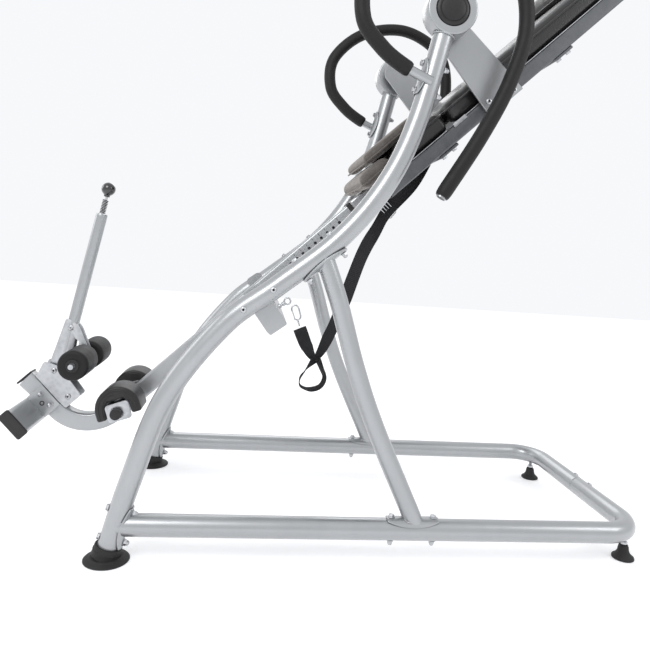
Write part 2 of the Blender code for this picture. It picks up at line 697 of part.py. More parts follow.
def build_lever():
    """The lever tube between two plates that also carry the front rollers' axle."""
    direction = Vector((LEVER_AXIS[0], 0.0, LEVER_AXIS[1]))
    start, end = lever_point(0.075), lever_point(LEVER_LENGTH)
    arm = tube("ankle_lever", [(start[0], 0, start[1]), (end[0], 0, end[1])], LEVER_R, silver, table,
               sides=16)
    roller_s, roller_t = ROLLER_CENTRE
    corners = [(LEVER_PIVOT[0] - 0.010, LEVER_PIVOT[1] - 0.012), (roller_s - 0.004, roller_t - 0.018),
               (roller_s + 0.020, roller_t + 0.006), lever_point(0.160, -0.020),
               lever_point(0.175, 0.018), lever_point(0.030, 0.032)]
    for side, sign in SIDES:
        cheek = plate(f"{side}_lever_cheek", rounded_outline(corners, 0.009, 3), 0.004, zinc, table,
                      (0, sign * 0.0150, 0), along((1, 0, 0), (0, -1, 0)))
        join(arm, cheek)
    join(arm, cylinder("lever_pivot_tube", 0.010, 0.032, zinc, table, (LEVER_PIVOT[0], 0, LEVER_PIVOT[1]),
                       ALONG_Y, 16))
    cut(arm, cylinder("axle_hole", 0.0073, 0.10, None, table, (roller_s, 0, roller_t), ALONG_Y, 16,
                      cutters))
    top = lever_point(LEVER_LENGTH + GAP)
    build_plunger(direction, top)


def build_plunger(direction, top):
    """The spring-loaded rod with its ball knob, at the lever's upper end."""
    turn = along(direction)
    origin = (top[0], 0, top[1])
    smooth(turned("plunger_rod", [(0.0, 0.068), (0.0040, 0.068), (0.0040, -0.110), (0.0, -0.110)], zinc,
                  table, origin, turn, 12))
    smooth(turned("plunger_spring", [(0.0085, 0.0395), (0.0085, 0.0006), (0.0048, 0.0006),
                                     (0.0048, 0.0395)], black_steel, table, origin, turn, 16))
    radius = 0.0190
    bore = 0.0046
    centre = 0.0700
    low = centre - radius * cos(atan2(bore, radius))
    ball = [(0.0, centre + radius)]
    ball += [(radius * cos(radians(a)), centre + radius * sin(radians(a))) for a in (72, 54, 36, 18, 0,
                                                                                  -18, -36, -54)]
    ball += [(0.0075, low + 0.0004), (bore, low + 0.0004), (bore, 0.0685), (0.0, 0.0685)]
    smooth(turned("ball_knob", ball, plastic, table, origin, turn, 16), 60)


def build_rollers():
    roller_s, roller_t = ROLLER_CENTRE
    smooth(cylinder("roller_axle", 0.0070, 0.300, zinc, table, (roller_s, 0, roller_t), ALONG_Y, 16))
    for side, sign in SIDES:
        inner, outer = ROLLER_Y
        profile = [(0.0350, outer), (ROLLER_R, outer - 0.005), (ROLLER_R, inner + 0.005), (0.0350, inner),
                   (0.0078, inner), (0.0078, outer)]
        smooth(turned(f"{side}_front_roller", profile, foam, table, (roller_s, 0, roller_t),
                      along((0, sign, 0)), 28), 50)


def build_heel_holders():
    """Moulded cups that arch over a cross bar behind the ankles."""
    heel_s, heel_t = HEEL_CENTRE
    bar = cylinder("heel_bar", 0.0125, 0.310, zinc, table, (heel_s, 0, heel_t), ALONG_Y, 20)
    cut(bar, cylinder("heel_bar_bore", 0.0105, 0.40, None, table, (heel_s, 0, heel_t), ALONG_Y, 20,
                      cutters))
    smooth(bar)
    opening = radians(-70.5) - RECLINE
    turn = Matrix.Rotation(-(opening + pi / 2), 4, "Y").to_quaternion()
    outer = ([(-0.0515, -0.0110), (-0.0515, 0.0105)] + arc((0.0060, 0.0105), 0.0575, 175, 5, 14)
             + [(0.0635, 0.0105), (0.0635, -0.0110)])
    pocket = [(0.0370, -0.0110), (0.0350, 0.0240), (0.0250, 0.0330), (-0.0130, 0.0330), (-0.0230, 0.0240),
              (-0.0250, -0.0110)]
    for side, sign in SIDES:
        cup = plate(f"{side}_heel_cup", outer + pocket, 0.086, plastic, table,
                    (heel_s, sign * 0.103, heel_t), turn @ along((1, 0, 0), (0, -1, 0)))
        add_bevel(cup, 0.006, 2, 50)
        smooth(cup, 40)


# ---- tether ----
def build_tether():
    """Webbing from the bed's lower crossbar to the eye on the brace."""
    points = side_view(smooth_route(STRAP_ROUTE, 24), 0.0)
    rod("tether_strap", points, 0.0050, webbing, base, sides=8)
    rod("spring_hook", side_view([(0.4110, 0.5705), (0.4250, 0.5235)], 0.0), 0.0040, zinc, base, sides=8)


build_side_frames()
brace_centre, brace_down, brace_run = build_cross_brace()
build_strap_eye(brace_centre, brace_down, brace_run)
build_base_joiner()
build_pivots()
build_bed_frame()
build_sleeve()
build_pads()
build_boom()
build_foot_rest()
build_ankle_bracket()
build_lever()
build_rollers()
build_heel_holders()
build_tether()
bpy.context.view_layer.update()
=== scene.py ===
"""An inversion table: bent posts on a U-shaped base, a padded bed on side hubs, a boom with ankle holders.

Metres, Z up. The user's head is towards +X and left is -Y. Side-view pairs (x, z) are measured from the
front foot. On the swinging bed, s runs towards the head and t stands away from it on the user's side.
"""

from math import cos, pi, radians, sin, sqrt

import bpy
from mathutils import Matrix, Vector


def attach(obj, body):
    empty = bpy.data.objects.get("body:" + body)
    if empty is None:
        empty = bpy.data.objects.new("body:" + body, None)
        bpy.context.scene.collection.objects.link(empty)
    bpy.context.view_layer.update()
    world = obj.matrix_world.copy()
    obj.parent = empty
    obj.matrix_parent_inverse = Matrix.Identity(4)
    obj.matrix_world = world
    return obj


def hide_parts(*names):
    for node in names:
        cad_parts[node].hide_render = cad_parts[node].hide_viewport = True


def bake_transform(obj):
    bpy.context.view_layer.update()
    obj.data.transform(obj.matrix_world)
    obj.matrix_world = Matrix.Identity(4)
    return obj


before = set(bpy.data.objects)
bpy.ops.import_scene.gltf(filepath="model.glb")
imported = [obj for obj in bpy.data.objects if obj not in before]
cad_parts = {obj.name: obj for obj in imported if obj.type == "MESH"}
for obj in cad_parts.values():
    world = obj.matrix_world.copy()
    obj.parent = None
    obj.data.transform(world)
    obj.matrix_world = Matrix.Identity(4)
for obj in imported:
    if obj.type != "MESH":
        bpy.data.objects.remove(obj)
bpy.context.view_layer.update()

# ---- camera ----
# It stands near the left side at half the frame's height, level, and turned a little on its own axis.
YAW, PITCH, ROLL = 0.1253985, 0.0071576, 0.0729980
bpy.ops.object.camera_add(location=(-0.21702, -1.78347, 0.74827))
camera = bpy.context.object
ahead = Vector((sin(YAW) * cos(PITCH), cos(YAW) * cos(PITCH), sin(PITCH)))
level = Vector((cos(YAW), -sin(YAW), 0.0))
above = level.cross(ahead)
columns = (level * cos(ROLL) + above * sin(ROLL), above * cos(ROLL) - level * sin(ROLL), -ahead)
camera.rotation_euler = Matrix(columns).transposed().to_euler()
camera.data.lens = 34.34
camera.data.shift_x, camera.data.shift_y = -0.01579, -0.12438
camera.data.clip_start = 0.05
bpy.context.scene.camera = camera

# ---- studio ----
# A white room: one large soft box over the left shoulder, a long one ahead, and a weak fill behind.
bpy.context.scene.view_settings.view_transform = "Standard"
room = bpy.data.worlds.new("white_room")
room.use_nodes = True
room.node_tree.nodes["Background"].inputs["Color"].default_value = (0.93, 0.94, 0.96, 1.0)
room.node_tree.nodes["Background"].inputs["Strength"].default_value = 1.0
bpy.context.scene.world = room
for spot, size, power in (((-1.6, -2.6, 3.0), 1.8, 46.0), ((2.6, -1.6, 2.4), 1.2, 16.0),
                          ((0.0, 2.6, 2.6), 2.0, 18.0), ((-2.8, 0.6, 1.6), 1.2, 8.0)):
    bpy.ops.object.light_add(type="AREA", location=spot)
    lamp = bpy.context.object
    lamp.data.size = size
    lamp.data.energy = power
    lamp.rotation_euler = (Vector((0.0, 0.0, 0.6)) - Vector(spot)).to_track_quat("-Z", "Y").to_euler()


# ---- finishes ----
# Every finish below is mixed from this small kit, so that a sum on two sockets reads as a sum.
class Wire:
    """One number socket; a sum on it adds the Math nodes that work it out."""

    def __init__(self, finish, socket):
        self.finish, self.socket = finish, socket

    def sum(self, operation, first, second):
        return self.finish.node("Math", {"operation": operation}, {0: first, 1: second})

    def __add__(self, other):
        return self.sum("ADD", self, other)

    def __mul__(self, other):
        return self.sum("MULTIPLY", self, other)

    __radd__, __rmul__ = __add__, __mul__


class Finish:
    """A material on one Principled shader. Fixed values go on its sockets; patterns come from node()."""

    def __init__(self, name, roughness, metallic=0.0, **fixed):
        self.material = bpy.data.materials.new(name)
        self.material.use_nodes = True
        self.tree = self.material.node_tree
        self.shader = self.tree.nodes["Principled BSDF"]
        self.shader.inputs["Roughness"].default_value = roughness
        self.shader.inputs["Metallic"].default_value = metallic
        for socket, value in fixed.items():
            self.shader.inputs[socket.replace("_", " ")].default_value = value
        self.place = self.node("TexCoord", out="Object")
        self.flat = self.node("TexCoord", out="UV")

    def node(self, kind, settings=None, sockets=None, out=0):
        """Add a node: its settings first, then the values or links of its sockets."""
        made = self.tree.nodes.new("ShaderNode" + kind)
        for name, value in (settings or {}).items():
            if name == "stops":
                for index, (at, colour) in enumerate(value):
                    stop = made.color_ramp.elements[index] if index < 2 else made.color_ramp.elements.new(at)
                    stop.position, stop.color = at, colour
            else:
                setattr(made, name, value)
        for name, value in (sockets or {}).items():
            if isinstance(value, Wire):
                self.tree.links.new(value.socket, made.inputs[name])
            else:
                made.inputs[name].default_value = value
        return Wire(self, made.outputs[out])

    def noise(self, scale, detail=3.0, roughness=0.55, stretch=None, where=None):
        where = where or self.place
        if stretch:
            where = self.node("Mapping", None, {"Vector": where, "Scale": stretch})
        return self.node("TexNoise", None, {"Vector": where, "Scale": scale, "Detail": detail,
                                            "Roughness": roughness})

    def cells(self, scale, feature="F1", where=None):
        return self.node("TexVoronoi", {"feature": feature}, {"Vector": where or self.place, "Scale": scale})

    def blend(self, share, dark, light):
        """A colour between two, by a number from 0 to 1."""
        sockets = {0: share}
        for index, colour in ((6, dark), (7, light)):
            sockets[index] = colour if isinstance(colour, Wire) else (*colour, 1.0)
        return self.node("Mix", {"data_type": "RGBA"}, sockets, out=2)

    def spread(self, value, low, high):
        """value's span from low to high, stretched to 0 to 1."""
        return self.node("MapRange", None, {"Value": value, "From Min": low, "From Max": high})

    def feed(self, **sockets):
        for name, wire in sockets.items():
            self.tree.links.new(wire.socket, self.shader.inputs[name.replace("_", " ")])
        return self

    def bump(self, height, distance, strength=1.0):
        return self.feed(Normal=self.node("Bump", None, {"Height": height, "Distance": distance,
                                                         "Strength": strength}))


# ---- floor ----
# A pale paper floor, as wide as the room; it is only a backdrop.
floor_finish = Finish("pale_paper", 0.85, Emission_Color=(1.0, 1.0, 1.0, 1.0), Emission_Strength=0.22)
floor_finish.feed(Base_Color=floor_finish.blend(floor_finish.noise(3.0), (0.86, 0.86, 0.87),
                                                (0.89, 0.89, 0.90)))
bpy.ops.object.select_all(action="DESELECT")
bpy.ops.mesh.primitive_plane_add(size=14.0, location=(0.0, 0.0, 0.0))
floor = bpy.context.object
floor.name = "paper_floor"
floor.data.materials.append(floor_finish.material)

# ---- tether strap ----
# Black nylon webbing, 38 mm wide, from the bed's lower crossbar through a slider to a spring hook on the
# brace. Its slack hangs in a loop below the place where the two runs cross.
SHIFT = -0.5057
STRAP_ROUTE = [(.7740, 1.0125), (.725, .948), (.662, .872), (.630, .812), (.592, .730), (.552, .600),
               (.516, .500), (.481, .430), (.452, .462), (.428, .512)]
STRAP_WIDTH, STRAP_THICKNESS = 0.038, 0.0018
ACROSS = Vector((0.0, 1.0, 0.0))
STRAP_STEPS, LOOP_STEPS, WRAP_STEPS = 240, 120, 60


def smooth_route(route, count):
    """Evenly spaced points (x, z) on a smooth curve through the route's points."""
    line = [Vector(point) for point in route]
    ends = [line[0] * 2 - line[1]] + line + [line[-1] * 2 - line[-2]]
    points = []
    for index in range(count):
        place = (len(line) - 1) * index / (count - 1)
        start = min(int(place), len(line) - 2)
        u = place - start
        a, b, c, d = ends[start:start + 4]
        points.append(tuple(0.5 * ((2 * b) + (c - a) * u + (2 * a - 5 * b + 4 * c - d) * u ** 2
                                   + (3 * b - a - 3 * c + d) * u ** 3)))
    return points


def in_side_view(route, y):
    return [Vector((x + SHIFT, y, z)) for x, z in route]


def put_down():
    """Leave nothing selected, so that the next operator acts on the new piece alone."""
    bpy.ops.object.select_all(action="DESELECT")


def pick_up(*pieces):
    put_down()
    for piece in pieces:
        piece.select_set(True)
    bpy.context.view_layer.objects.active = pieces[0]
    return pieces[0]


def applied(piece, kind, **settings):
    """Add a modifier, set it and apply it."""
    pick_up(piece)
    modifier = piece.modifiers.new(kind.lower(), kind)
    for name, value in settings.items():
        setattr(modifier, name, value)
    bpy.ops.object.modifier_apply(modifier=modifier.name)
    return piece


def moved(piece, matrix):
    """Carry a piece by matrix and bake the move into its mesh, so that its origin stays at the world's."""
    pick_up(piece)
    bpy.context.view_layer.update()
    piece.matrix_world = matrix @ piece.matrix_world
    bpy.ops.object.transform_apply(location=True, rotation=True, scale=True)
    return piece


def smoothed(piece, angle=35):
    pick_up(piece)
    bpy.ops.object.shade_smooth_by_angle(angle=radians(angle))
    return piece


def joined(name, pieces):
    """Several meshes made one, under one name."""
    pick_up(*pieces)
    if len(pieces) > 1:
        bpy.ops.object.join()
    pieces[0].name = pieces[0].data.name = name
    return pieces[0]


def paint_nodes(finish, *names):
    """Give a finish to CAD nodes that are shown as they are."""
    for name in names:
        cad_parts[name].data.materials[0] = finish.material


def fit(piece, finish, body, slot, *nodes):
    """Paint a finished piece, set it on its body, and say which CAD nodes it stands for."""
    piece.data.materials.clear()
    piece.data.materials.append(finish.material)
    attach(piece, body)
    if nodes:
        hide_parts(*nodes)
    return piece


def circle_points(centre, first, second, count):
    """Points round a centre, on the ellipse with these two half axes."""
    return [centre + first * cos(2 * pi * step / count) + second * sin(2 * pi * step / count)
            for step in range(count)]


def band_side(points, index, turn):
    """The width direction of a band at one of its points, turned by an angle from straight across."""
    run = points[min(index + 1, len(points) - 1)] - points[max(index - 1, 0)]
    face_on = ACROSS.cross(run.normalized())
    return (ACROSS * cos(radians(turn)) + face_on * sin(radians(turn))).normalized()


def strip(name, points, sides, widths, curl, steps_across=8):
    """A flat band along points; sides are its width directions, widths its widths, curl its cupping."""
    put_down()
    rows = len(points)
    bpy.ops.mesh.primitive_grid_add(x_subdivisions=rows - 1, y_subdivisions=steps_across, size=2.0)
    band = bpy.context.object
    band.name = name
    for vert in band.data.vertices:
        row = min(rows - 1, round((vert.co.x + 1) / 2 * (rows - 1)))
        across = vert.co.y
        ahead_of = points[min(rows - 1, row + 1)] - points[max(0, row - 1)]
        lift = sides[row].cross(ahead_of).normalized() * curl[row] * (1 - across ** 2)
        vert.co = points[row] + sides[row] * across * widths[row] / 2 + lift
    applied(band, "SOLIDIFY", thickness=STRAP_THICKNESS, offset=0.0)
    return smoothed(band, 40)


webbing = Finish("black_nylon_webbing", 0.78, Specular_IOR_Level=0.25)
ribs = webbing.node("TexWave", {"bands_direction": "X"}, {"Vector": webbing.flat, "Scale": 78.0,
                                                          "Distortion": 0.6,
                                                         "Detail": 1.0, "Detail Scale": 3.0}, out="Fac")
yarns = webbing.node("TexWave", {"bands_direction": "Y"}, {"Vector": webbing.flat, "Scale": 5.2,
                                                           "Distortion": 0.3},
                     out="Fac")
threads = ribs * yarns
webbing.feed(Base_Color=webbing.blend(threads * 0.8 + webbing.noise(60.0) * 0.2, (0.008, 0.008, 0.009),
                                      (0.045, 0.045, 0.048)))
webbing.bump(threads, 0.0006)

strap_points = in_side_view(smooth_route(STRAP_ROUTE, STRAP_STEPS + 1), 0.0)
strap_sides, strap_widths, strap_curl = [], [], []
for index in range(STRAP_STEPS + 1):
    share = index / STRAP_STEPS
    turn = (min(1.0, share / 0.16) * 72 + 26 * sin(share * 17.0) * min(1.0, share * 3)
            + max(0.0, share - 0.74) * 190)
    strap_sides.append(band_side(strap_points, index, turn))
    pinch = 1 - 0.62 * max(0.0, 1 - abs(share - 0.78) / 0.10)
    strap_widths.append(STRAP_WIDTH * pinch)
    strap_curl.append(0.0035 * sin(share * 31.0) * pinch)
strap = strip("tether_webbing", strap_points, strap_sides, strap_widths, strap_curl)

loop_line = [(.484, .432), (.500, .400), (.512, .370), (.500, .345), (.470, .338), (.442, .350), (.438, .374),
             (.455, .398), (.478, .424)]
loop_points = in_side_view(smooth_route(loop_line, LOOP_STEPS + 1), 0.0)
loop_sides = []
for index, point in enumerate(loop_points):
    share = index / LOOP_STEPS
    loop_sides.append(band_side(loop_points, index, 24 + 22 * sin(share * 8.0)))
    point.y = 0.016 * sin(share * pi * 2)
tail = strip("tether_slack_loop", loop_points, loop_sides, [STRAP_WIDTH * 0.92] * (LOOP_STEPS + 1),
             [0.003 * sin(index * 0.15) for index in range(LOOP_STEPS + 1)])
fit(tail, webbing, "frame", "black_webbing")

# Turned round the crossbar and sewn back on itself, the strap's top end is a flat eye.
RECLINE = radians(44.4)
bar_turn = Matrix.Rotation(-RECLINE, 4, "Y")
wrap_points = circle_points(Vector((0.2589, 0.0, 1.0228)), bar_turn @ Vector((0.0335, 0.0, 0.0)),
                            bar_turn @ Vector((0.0, 0.0, 0.0100)), WRAP_STEPS)
wrap_points.append(wrap_points[0])
wrap = strip("tether_bar_eye", wrap_points, [ACROSS] * (WRAP_STEPS + 1), [STRAP_WIDTH] * (WRAP_STEPS + 1),
             [0.0] * (WRAP_STEPS + 1))
fit(wrap, webbing, "bed", "black_webbing")

# ---- strap slider and spring hook ----
# A bent wire slider sets the strap's length, and a plated steel hook with a sprung gate and an eye joins
# it to the brace.
zinc = Finish("zinc_plate", 0.26, 1.0)
spangle = zinc.cells(95.0)
patches = zinc.noise(22.0, 4.0)
zinc.feed(Base_Color=zinc.blend(spangle * 0.45 + patches * 0.55, (0.36, 0.37, 0.39), (0.62, 0.63, 0.64)),
          Roughness=0.26 + patches * 0.20)
zinc.bump(zinc.noise(420.0) * 0.7 + spangle * 0.3, 0.00006)


def faced_out(piece, weld=0.0):
    """Weld the points that lie closer than weld, and turn every face outwards."""
    pick_up(piece)
    bpy.ops.object.mode_set(mode="EDIT")
    bpy.ops.mesh.select_all(action="SELECT")
    if weld:
        bpy.ops.mesh.remove_doubles(threshold=weld)
    bpy.ops.mesh.normals_make_consistent(inside=False)
    bpy.ops.object.mode_set(mode="OBJECT")
    return piece


def poly_curve(points, closed=False, swell=None):
    """A 3-D curve object of straight runs through points; swell scales its radius at each."""
    put_down()
    bpy.ops.curve.primitive_bezier_curve_add()
    guide = bpy.context.object
    guide.data.splines.clear()
    line = guide.data.splines.new("POLY")
    line.points.add(len(points) - 1)
    line.use_cyclic_u = closed
    for index, point in enumerate(points):
        line.points[index].co = (*point, 1.0)
        line.points[index].radius = swell[index] if swell else 1.0
    guide.data.dimensions = "3D"
    return guide


def bent_rod(name, points, radius, closed=False, round_steps=8, swell=None, caps=True):
    """A round bar bent along points; swell scales its radius at each point."""
    curve = poly_curve(points, closed, swell).data
    curve.bevel_depth = radius
    curve.bevel_resolution = round_steps
    curve.use_fill_caps = caps and not closed
    bpy.ops.object.convert(target="MESH")
    rod = bpy.context.object
    rod.name = rod.data.name = name
    return smoothed(faced_out(rod, 0.00002), 40)


def rounded_loop(half_a, half_b, corner, steps=6):
    """A closed rounded rectangle of (a, b) points."""
    loop = []
    for quarter, (sa, sb) in enumerate(((1, 1), (-1, 1), (-1, -1), (1, -1))):
        for step in range(steps + 1):
            angle = pi / 2 * (quarter + step / steps)
            loop.append((sa * (half_a - corner) + corner * cos(angle),
                         sb * (half_b - corner) + corner * sin(angle)))
    return loop


slide_at, slide_run = Vector((0.662 + SHIFT, 0.0, 0.872)), Vector((0.60, 0.0, 0.80))
slide_side = (Vector((0, 1, 0)) * 0.30 + Vector((0.80, 0.0, -0.60)) * 0.95).normalized()
slider_wires = [bent_rod("slider_rim", [slide_at + slide_side * a + slide_run * b
                                        for a, b in rounded_loop(0.0235, 0.0140, 0.004)], 0.0017, True, 4)]
for shift in (-0.0045, 0.0045):
    slider_wires.append(bent_rod("slider_bar", [slide_at + slide_side * a + slide_run * shift
                                                for a in (-0.0235, 0.0, 0.0235)], 0.0015, False, 4))
slider = fit(joined("strap_slider", slider_wires), zinc, "frame", "zinc_plate")

hook_top, hook_low = Vector((0.4085 + SHIFT, 0.0, 0.5760)), Vector((0.4265 + SHIFT, 0.0, 0.5200))
hook_run = (hook_top - hook_low).normalized()
hook_side = Vector((hook_run.z, 0.0, -hook_run.x))
hook_middle = hook_low + hook_run * 0.036
hook_shape = [(0.0095, -0.014), (0.0105, 0.004), (0.0100, 0.014), (0.0060, 0.0215), (0.0, 0.0235),
              (-0.0060, 0.0215), (-0.0098, 0.0150), (-0.0100, 0.0090)]
hook_wires = [bent_rod("hook_bow", [hook_middle + hook_side * a + hook_run * b
                                    for a, b in smooth_route([(-0.0095, -0.014),
                                                              (0.0, -0.0195)] + hook_shape, 60)],
                       0.0023, False, 6),
              bent_rod("hook_gate", [hook_middle + hook_side * a + hook_run * b
                                     for a, b in ((-0.0098, 0.0105), (-0.0088, 0.0), (-0.0080, -0.0140))],
                       0.0016, False, 5),
              bent_rod("hook_eye", circle_points(hook_low + hook_run * 0.0075, ACROSS * 0.0120,
                                                 hook_run * 0.0070, 40),
                       0.0021, True, 5)]
hook = fit(joined("spring_hook_steel", hook_wires), zinc, "frame", "zinc_plate", "spring_hook")

# ---- strap finish ----
# The strap runs between the brace and the bed; here it takes the webbing finish, stands in for the CAD strap
# and is baked where it lies.
strap.data.materials.clear()
strap.data.materials.append(webbing.material)
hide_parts("tether_strap")
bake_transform(strap)

# ---- side posts ----
# Each is one length of 50.8 mm round steel tube, bent in an S from the foot to the hub and sprayed silver.
TUBE_R, HALF_WIDTH = 0.0254, 0.310
PIVOT = Vector((0.2093, 0.0, 1.345))
POST_PATH = [(0.000, 0.020), (0.040, 0.180), (0.106, 0.380), (0.228, 0.553), (0.342, 0.648), (0.483, 0.771),
             (0.587, 0.911), (0.654, 1.075), (0.715, 1.345)]

silver = Finish("silver_paint", 0.34, 0.82, Coat_Weight=0.35, Coat_Roughness=0.2)
flakes = silver.cells(1500.0)
clouds = silver.noise(7.0, 4.0)
rubs = silver.noise(34.0, 5.0, 0.7, (1.0, 1.0, 0.25))
silver.feed(Base_Color=silver.blend(clouds * 0.35 + flakes * 0.35 + rubs * 0.30, (0.31, 0.32, 0.33),
                                    (0.47, 0.48, 0.49)),
            Roughness=0.22 + clouds * 0.12 + rubs * 0.10)
silver.bump(silver.noise(460.0) * 0.6 + flakes * 0.4, 0.00005)


def mirrored(piece, name):
    """The same piece for the right-hand side: a copy of its mesh, turned over across the middle."""
    pick_up(piece)
    bpy.ops.object.duplicate()
    other = bpy.context.object
    other.name = other.data.name = name
    return faced_out(moved(other, Matrix.Scale(-1.0, 4, ACROSS)))


def fit_pair(piece, name, finish, body, slot, *nodes):
    """A left piece and its mirrored right one; {} in the names stands for the side."""
    pair = []
    for side in ("left", "right"):
        made = piece if side == "left" else mirrored(piece, name.format(side))
        made.name = made.data.name = name.format(side)
        pair.append(fit(made, finish, body.format(side), slot, *(node.format(side) for node in nodes)))
    return pair


def on_route(points, z, y):
    """The place and direction where a rising route reaches the height z."""
    for low, high in zip(points, points[1:]):
        if low.z <= z <= high.z:
            share = (z - low.z) / (high.z - low.z)
            spot = low.lerp(high, share)
            return Vector((spot.x, y, z)), (high - low).normalized()


post_line = in_side_view(smooth_route(POST_PATH, 161), -HALF_WIDTH)
hub_centre = Vector((PIVOT.x, -HALF_WIDTH, PIVOT.z))
post_line = [point for point in post_line if (point - hub_centre).length > 0.050]
post = bent_rod("post", post_line, TUBE_R, round_steps=20)
fit_pair(post, "{}_side_post", silver, "frame", "silver_paint", "{}_post")

# ---- fasteners ----
# Zinc-plated hex bolts, button-head bolts and acorn nuts, each on its washer. One of each is turned here
# and every other is a copy of it.


def standing(place, direction):
    """The matrix that stands a piece drawn along Z at a place, in a direction."""
    turn = Vector((0, 0, 1)).rotation_difference(Vector(direction))
    return Matrix.Translation(Vector(place)) @ turn.to_matrix().to_4x4()


def turned(name, profile, place=(0, 0, 0), direction=(0, 0, 1), sides=48, hollow=False, angle=35):
    """A piece turned on a lathe from (radius, height) rings; a hollow one closes on itself."""
    put_down()
    bpy.ops.mesh.primitive_circle_add(vertices=sides, radius=profile[0][0], location=(0, 0, profile[0][1]))
    piece = bpy.context.object
    bpy.ops.object.mode_set(mode="EDIT")
    bpy.ops.mesh.select_all(action="SELECT")
    for (radius, height), (next_radius, next_height) in zip(profile, profile[1:]):
        bpy.ops.mesh.extrude_region_move(TRANSFORM_OT_translate={"value": (0, 0, next_height - height)})
        grow = next_radius / radius
        bpy.ops.transform.resize(value=(grow, grow, 1.0), center_override=(0, 0, 0))
    if hollow:
        bpy.ops.mesh.select_all(action="DESELECT")
        bpy.ops.mesh.select_non_manifold()
        bpy.ops.mesh.bridge_edge_loops()
    else:
        bpy.ops.mesh.select_all(action="SELECT")
        bpy.ops.mesh.fill_holes(sides=0)
    bpy.ops.object.mode_set(mode="OBJECT")
    moved(faced_out(piece), standing(place, direction))
    piece.name = piece.data.name = name
    return smoothed(piece, angle)


def washer():
    return turned("washer", [(0.0090, 0.0), (0.0092, 0.0005), (0.0088, 0.0014), (0.0050, 0.0014)], sides=32)


hex_bolt = joined("hex_bolt", [washer(), turned("hex", [(0.0072, 0.0010), (0.0072, 0.0056), (0.0062, 0.0066),
                                                        (0.0050, 0.0066), (0.0046, 0.0060)], sides=6)])
acorn_nut = joined("acorn_nut", [washer(), turned("nut_hex", [(0.0070, 0.0010), (0.0072, 0.0018),
                                                              (0.0072, 0.0060),
                                                              (0.0062, 0.0072)], sides=6),
                                 turned("dome", [(0.0058, 0.0060), (0.0058, 0.0085), (0.0050, 0.0112),
                                                 (0.0034, 0.0130), (0.0008, 0.0138)], sides=24)])
button_bolt = joined("button_bolt", [turned("button", [(0.0078, 0.0), (0.0078, 0.0010), (0.0068, 0.0028),
                                                       (0.0048, 0.0040), (0.0030, 0.0043)], sides=32),
                                     turned("socket_rim", [(0.0030, 0.0043), (0.0026, 0.0043),
                                                           (0.0026, 0.0018)],
                                            sides=6)])


def fasten(name, body, *sets):
    """Copies of one fastener, or of several, at (place, direction) spots, as one piece on a body."""
    copies = []
    for pattern, spots in sets:
        for place, direction in spots:
            pick_up(pattern)
            bpy.ops.object.duplicate()
            copies.append(moved(bpy.context.object, standing(place, direction)))
    return fit(joined(name, copies), zinc, body, "zinc_plate")


# ---- base ----
# A U of the same tube on the floor: two rails that turn in at the back and meet over a hidden spigot.
# Each rail's front end is welded to a saddle plate that is bolted through the post.
RAIL_Z, BASE_END_X, BASE_CORNER_R = 0.080, 1.311, 0.090
SADDLE_REACH, SADDLE_T = TUBE_R + 0.0010, 0.0035
weld_reach = SADDLE_REACH + SADDLE_T
BOLT_SEAT, NUT_SEAT = TUBE_R - 0.0004, weld_reach - 0.0004


def saddle(name, length, half_angle, place, along_tube, outward, reach=SADDLE_REACH):
    """A lens-shaped plate pressed to a tube's curve."""
    put_down()
    bpy.ops.mesh.primitive_grid_add(x_subdivisions=26, y_subdivisions=20, size=2.0)
    plate = bpy.context.object
    for vert in plate.data.vertices:
        along_share, around = vert.co.x, vert.co.y
        angle = around * half_angle * sqrt(1.0 - 0.72 * along_share ** 2)
        vert.co = (along_share * length / 2, reach * sin(angle), reach * cos(angle))
    applied(plate, "SOLIDIFY", thickness=SADDLE_T, offset=1.0)
    applied(plate, "BEVEL", width=0.0011, segments=3, limit_method="ANGLE", angle_limit=radians(50))
    outward = (outward - along_tube * outward.dot(along_tube)).normalized()
    axes = Matrix((along_tube, outward.cross(along_tube), outward)).transposed().to_4x4()
    moved(plate, Matrix.Translation(place) @ axes)
    plate.name = name
    return smoothed(plate, 40)


def weld_bead(name, centre, axis, radius, thickness=0.0022, squeeze=None):
    """A rippled ring of weld round a joint; squeeze lays each point on the plate it joins."""
    axis = Vector(axis).normalized()
    first = axis.orthogonal().normalized()
    second = axis.cross(first)
    ring = circle_points(Vector(centre), first * radius, second * radius, 96)
    if squeeze:
        ring = [squeeze(point) for point in ring]
    return bent_rod(name, ring, thickness, True, 3, [1.0 + 0.22 * sin(i * 2.1) for i in range(96)])


rail_centre, rail_run = on_route(post_line, RAIL_Z, -HALF_WIDTH)
rail_behind = Vector((rail_run.z, 0.0, -rail_run.x))
corner_x, corner_y = BASE_END_X - BASE_CORNER_R + SHIFT, -HALF_WIDTH + BASE_CORNER_R
rail_line = [rail_centre] + [Vector((corner_x, -HALF_WIDTH, RAIL_Z))]
rail_line += [Vector((corner_x + BASE_CORNER_R * sin(a), corner_y - BASE_CORNER_R * cos(a), RAIL_Z))
              for a in [pi / 2 * i / 28 for i in range(1, 29)]]
rail_line += [Vector((BASE_END_X + SHIFT, y, RAIL_Z)) for y in (-0.0030, -0.0012, -0.0006)]
rail_swell = [1.0] * (len(rail_line) - 3) + [1.0, 0.985, 0.955]
rail = bent_rod("rail", rail_line, TUBE_R, round_steps=20, swell=rail_swell)
rail = joined("rail", [rail, saddle("rail_saddle", 0.096, radians(62), rail_centre, rail_run, rail_behind)])
fit_pair(rail, "{}_floor_rail", silver, "frame", "silver_paint", "{}_base_rail")

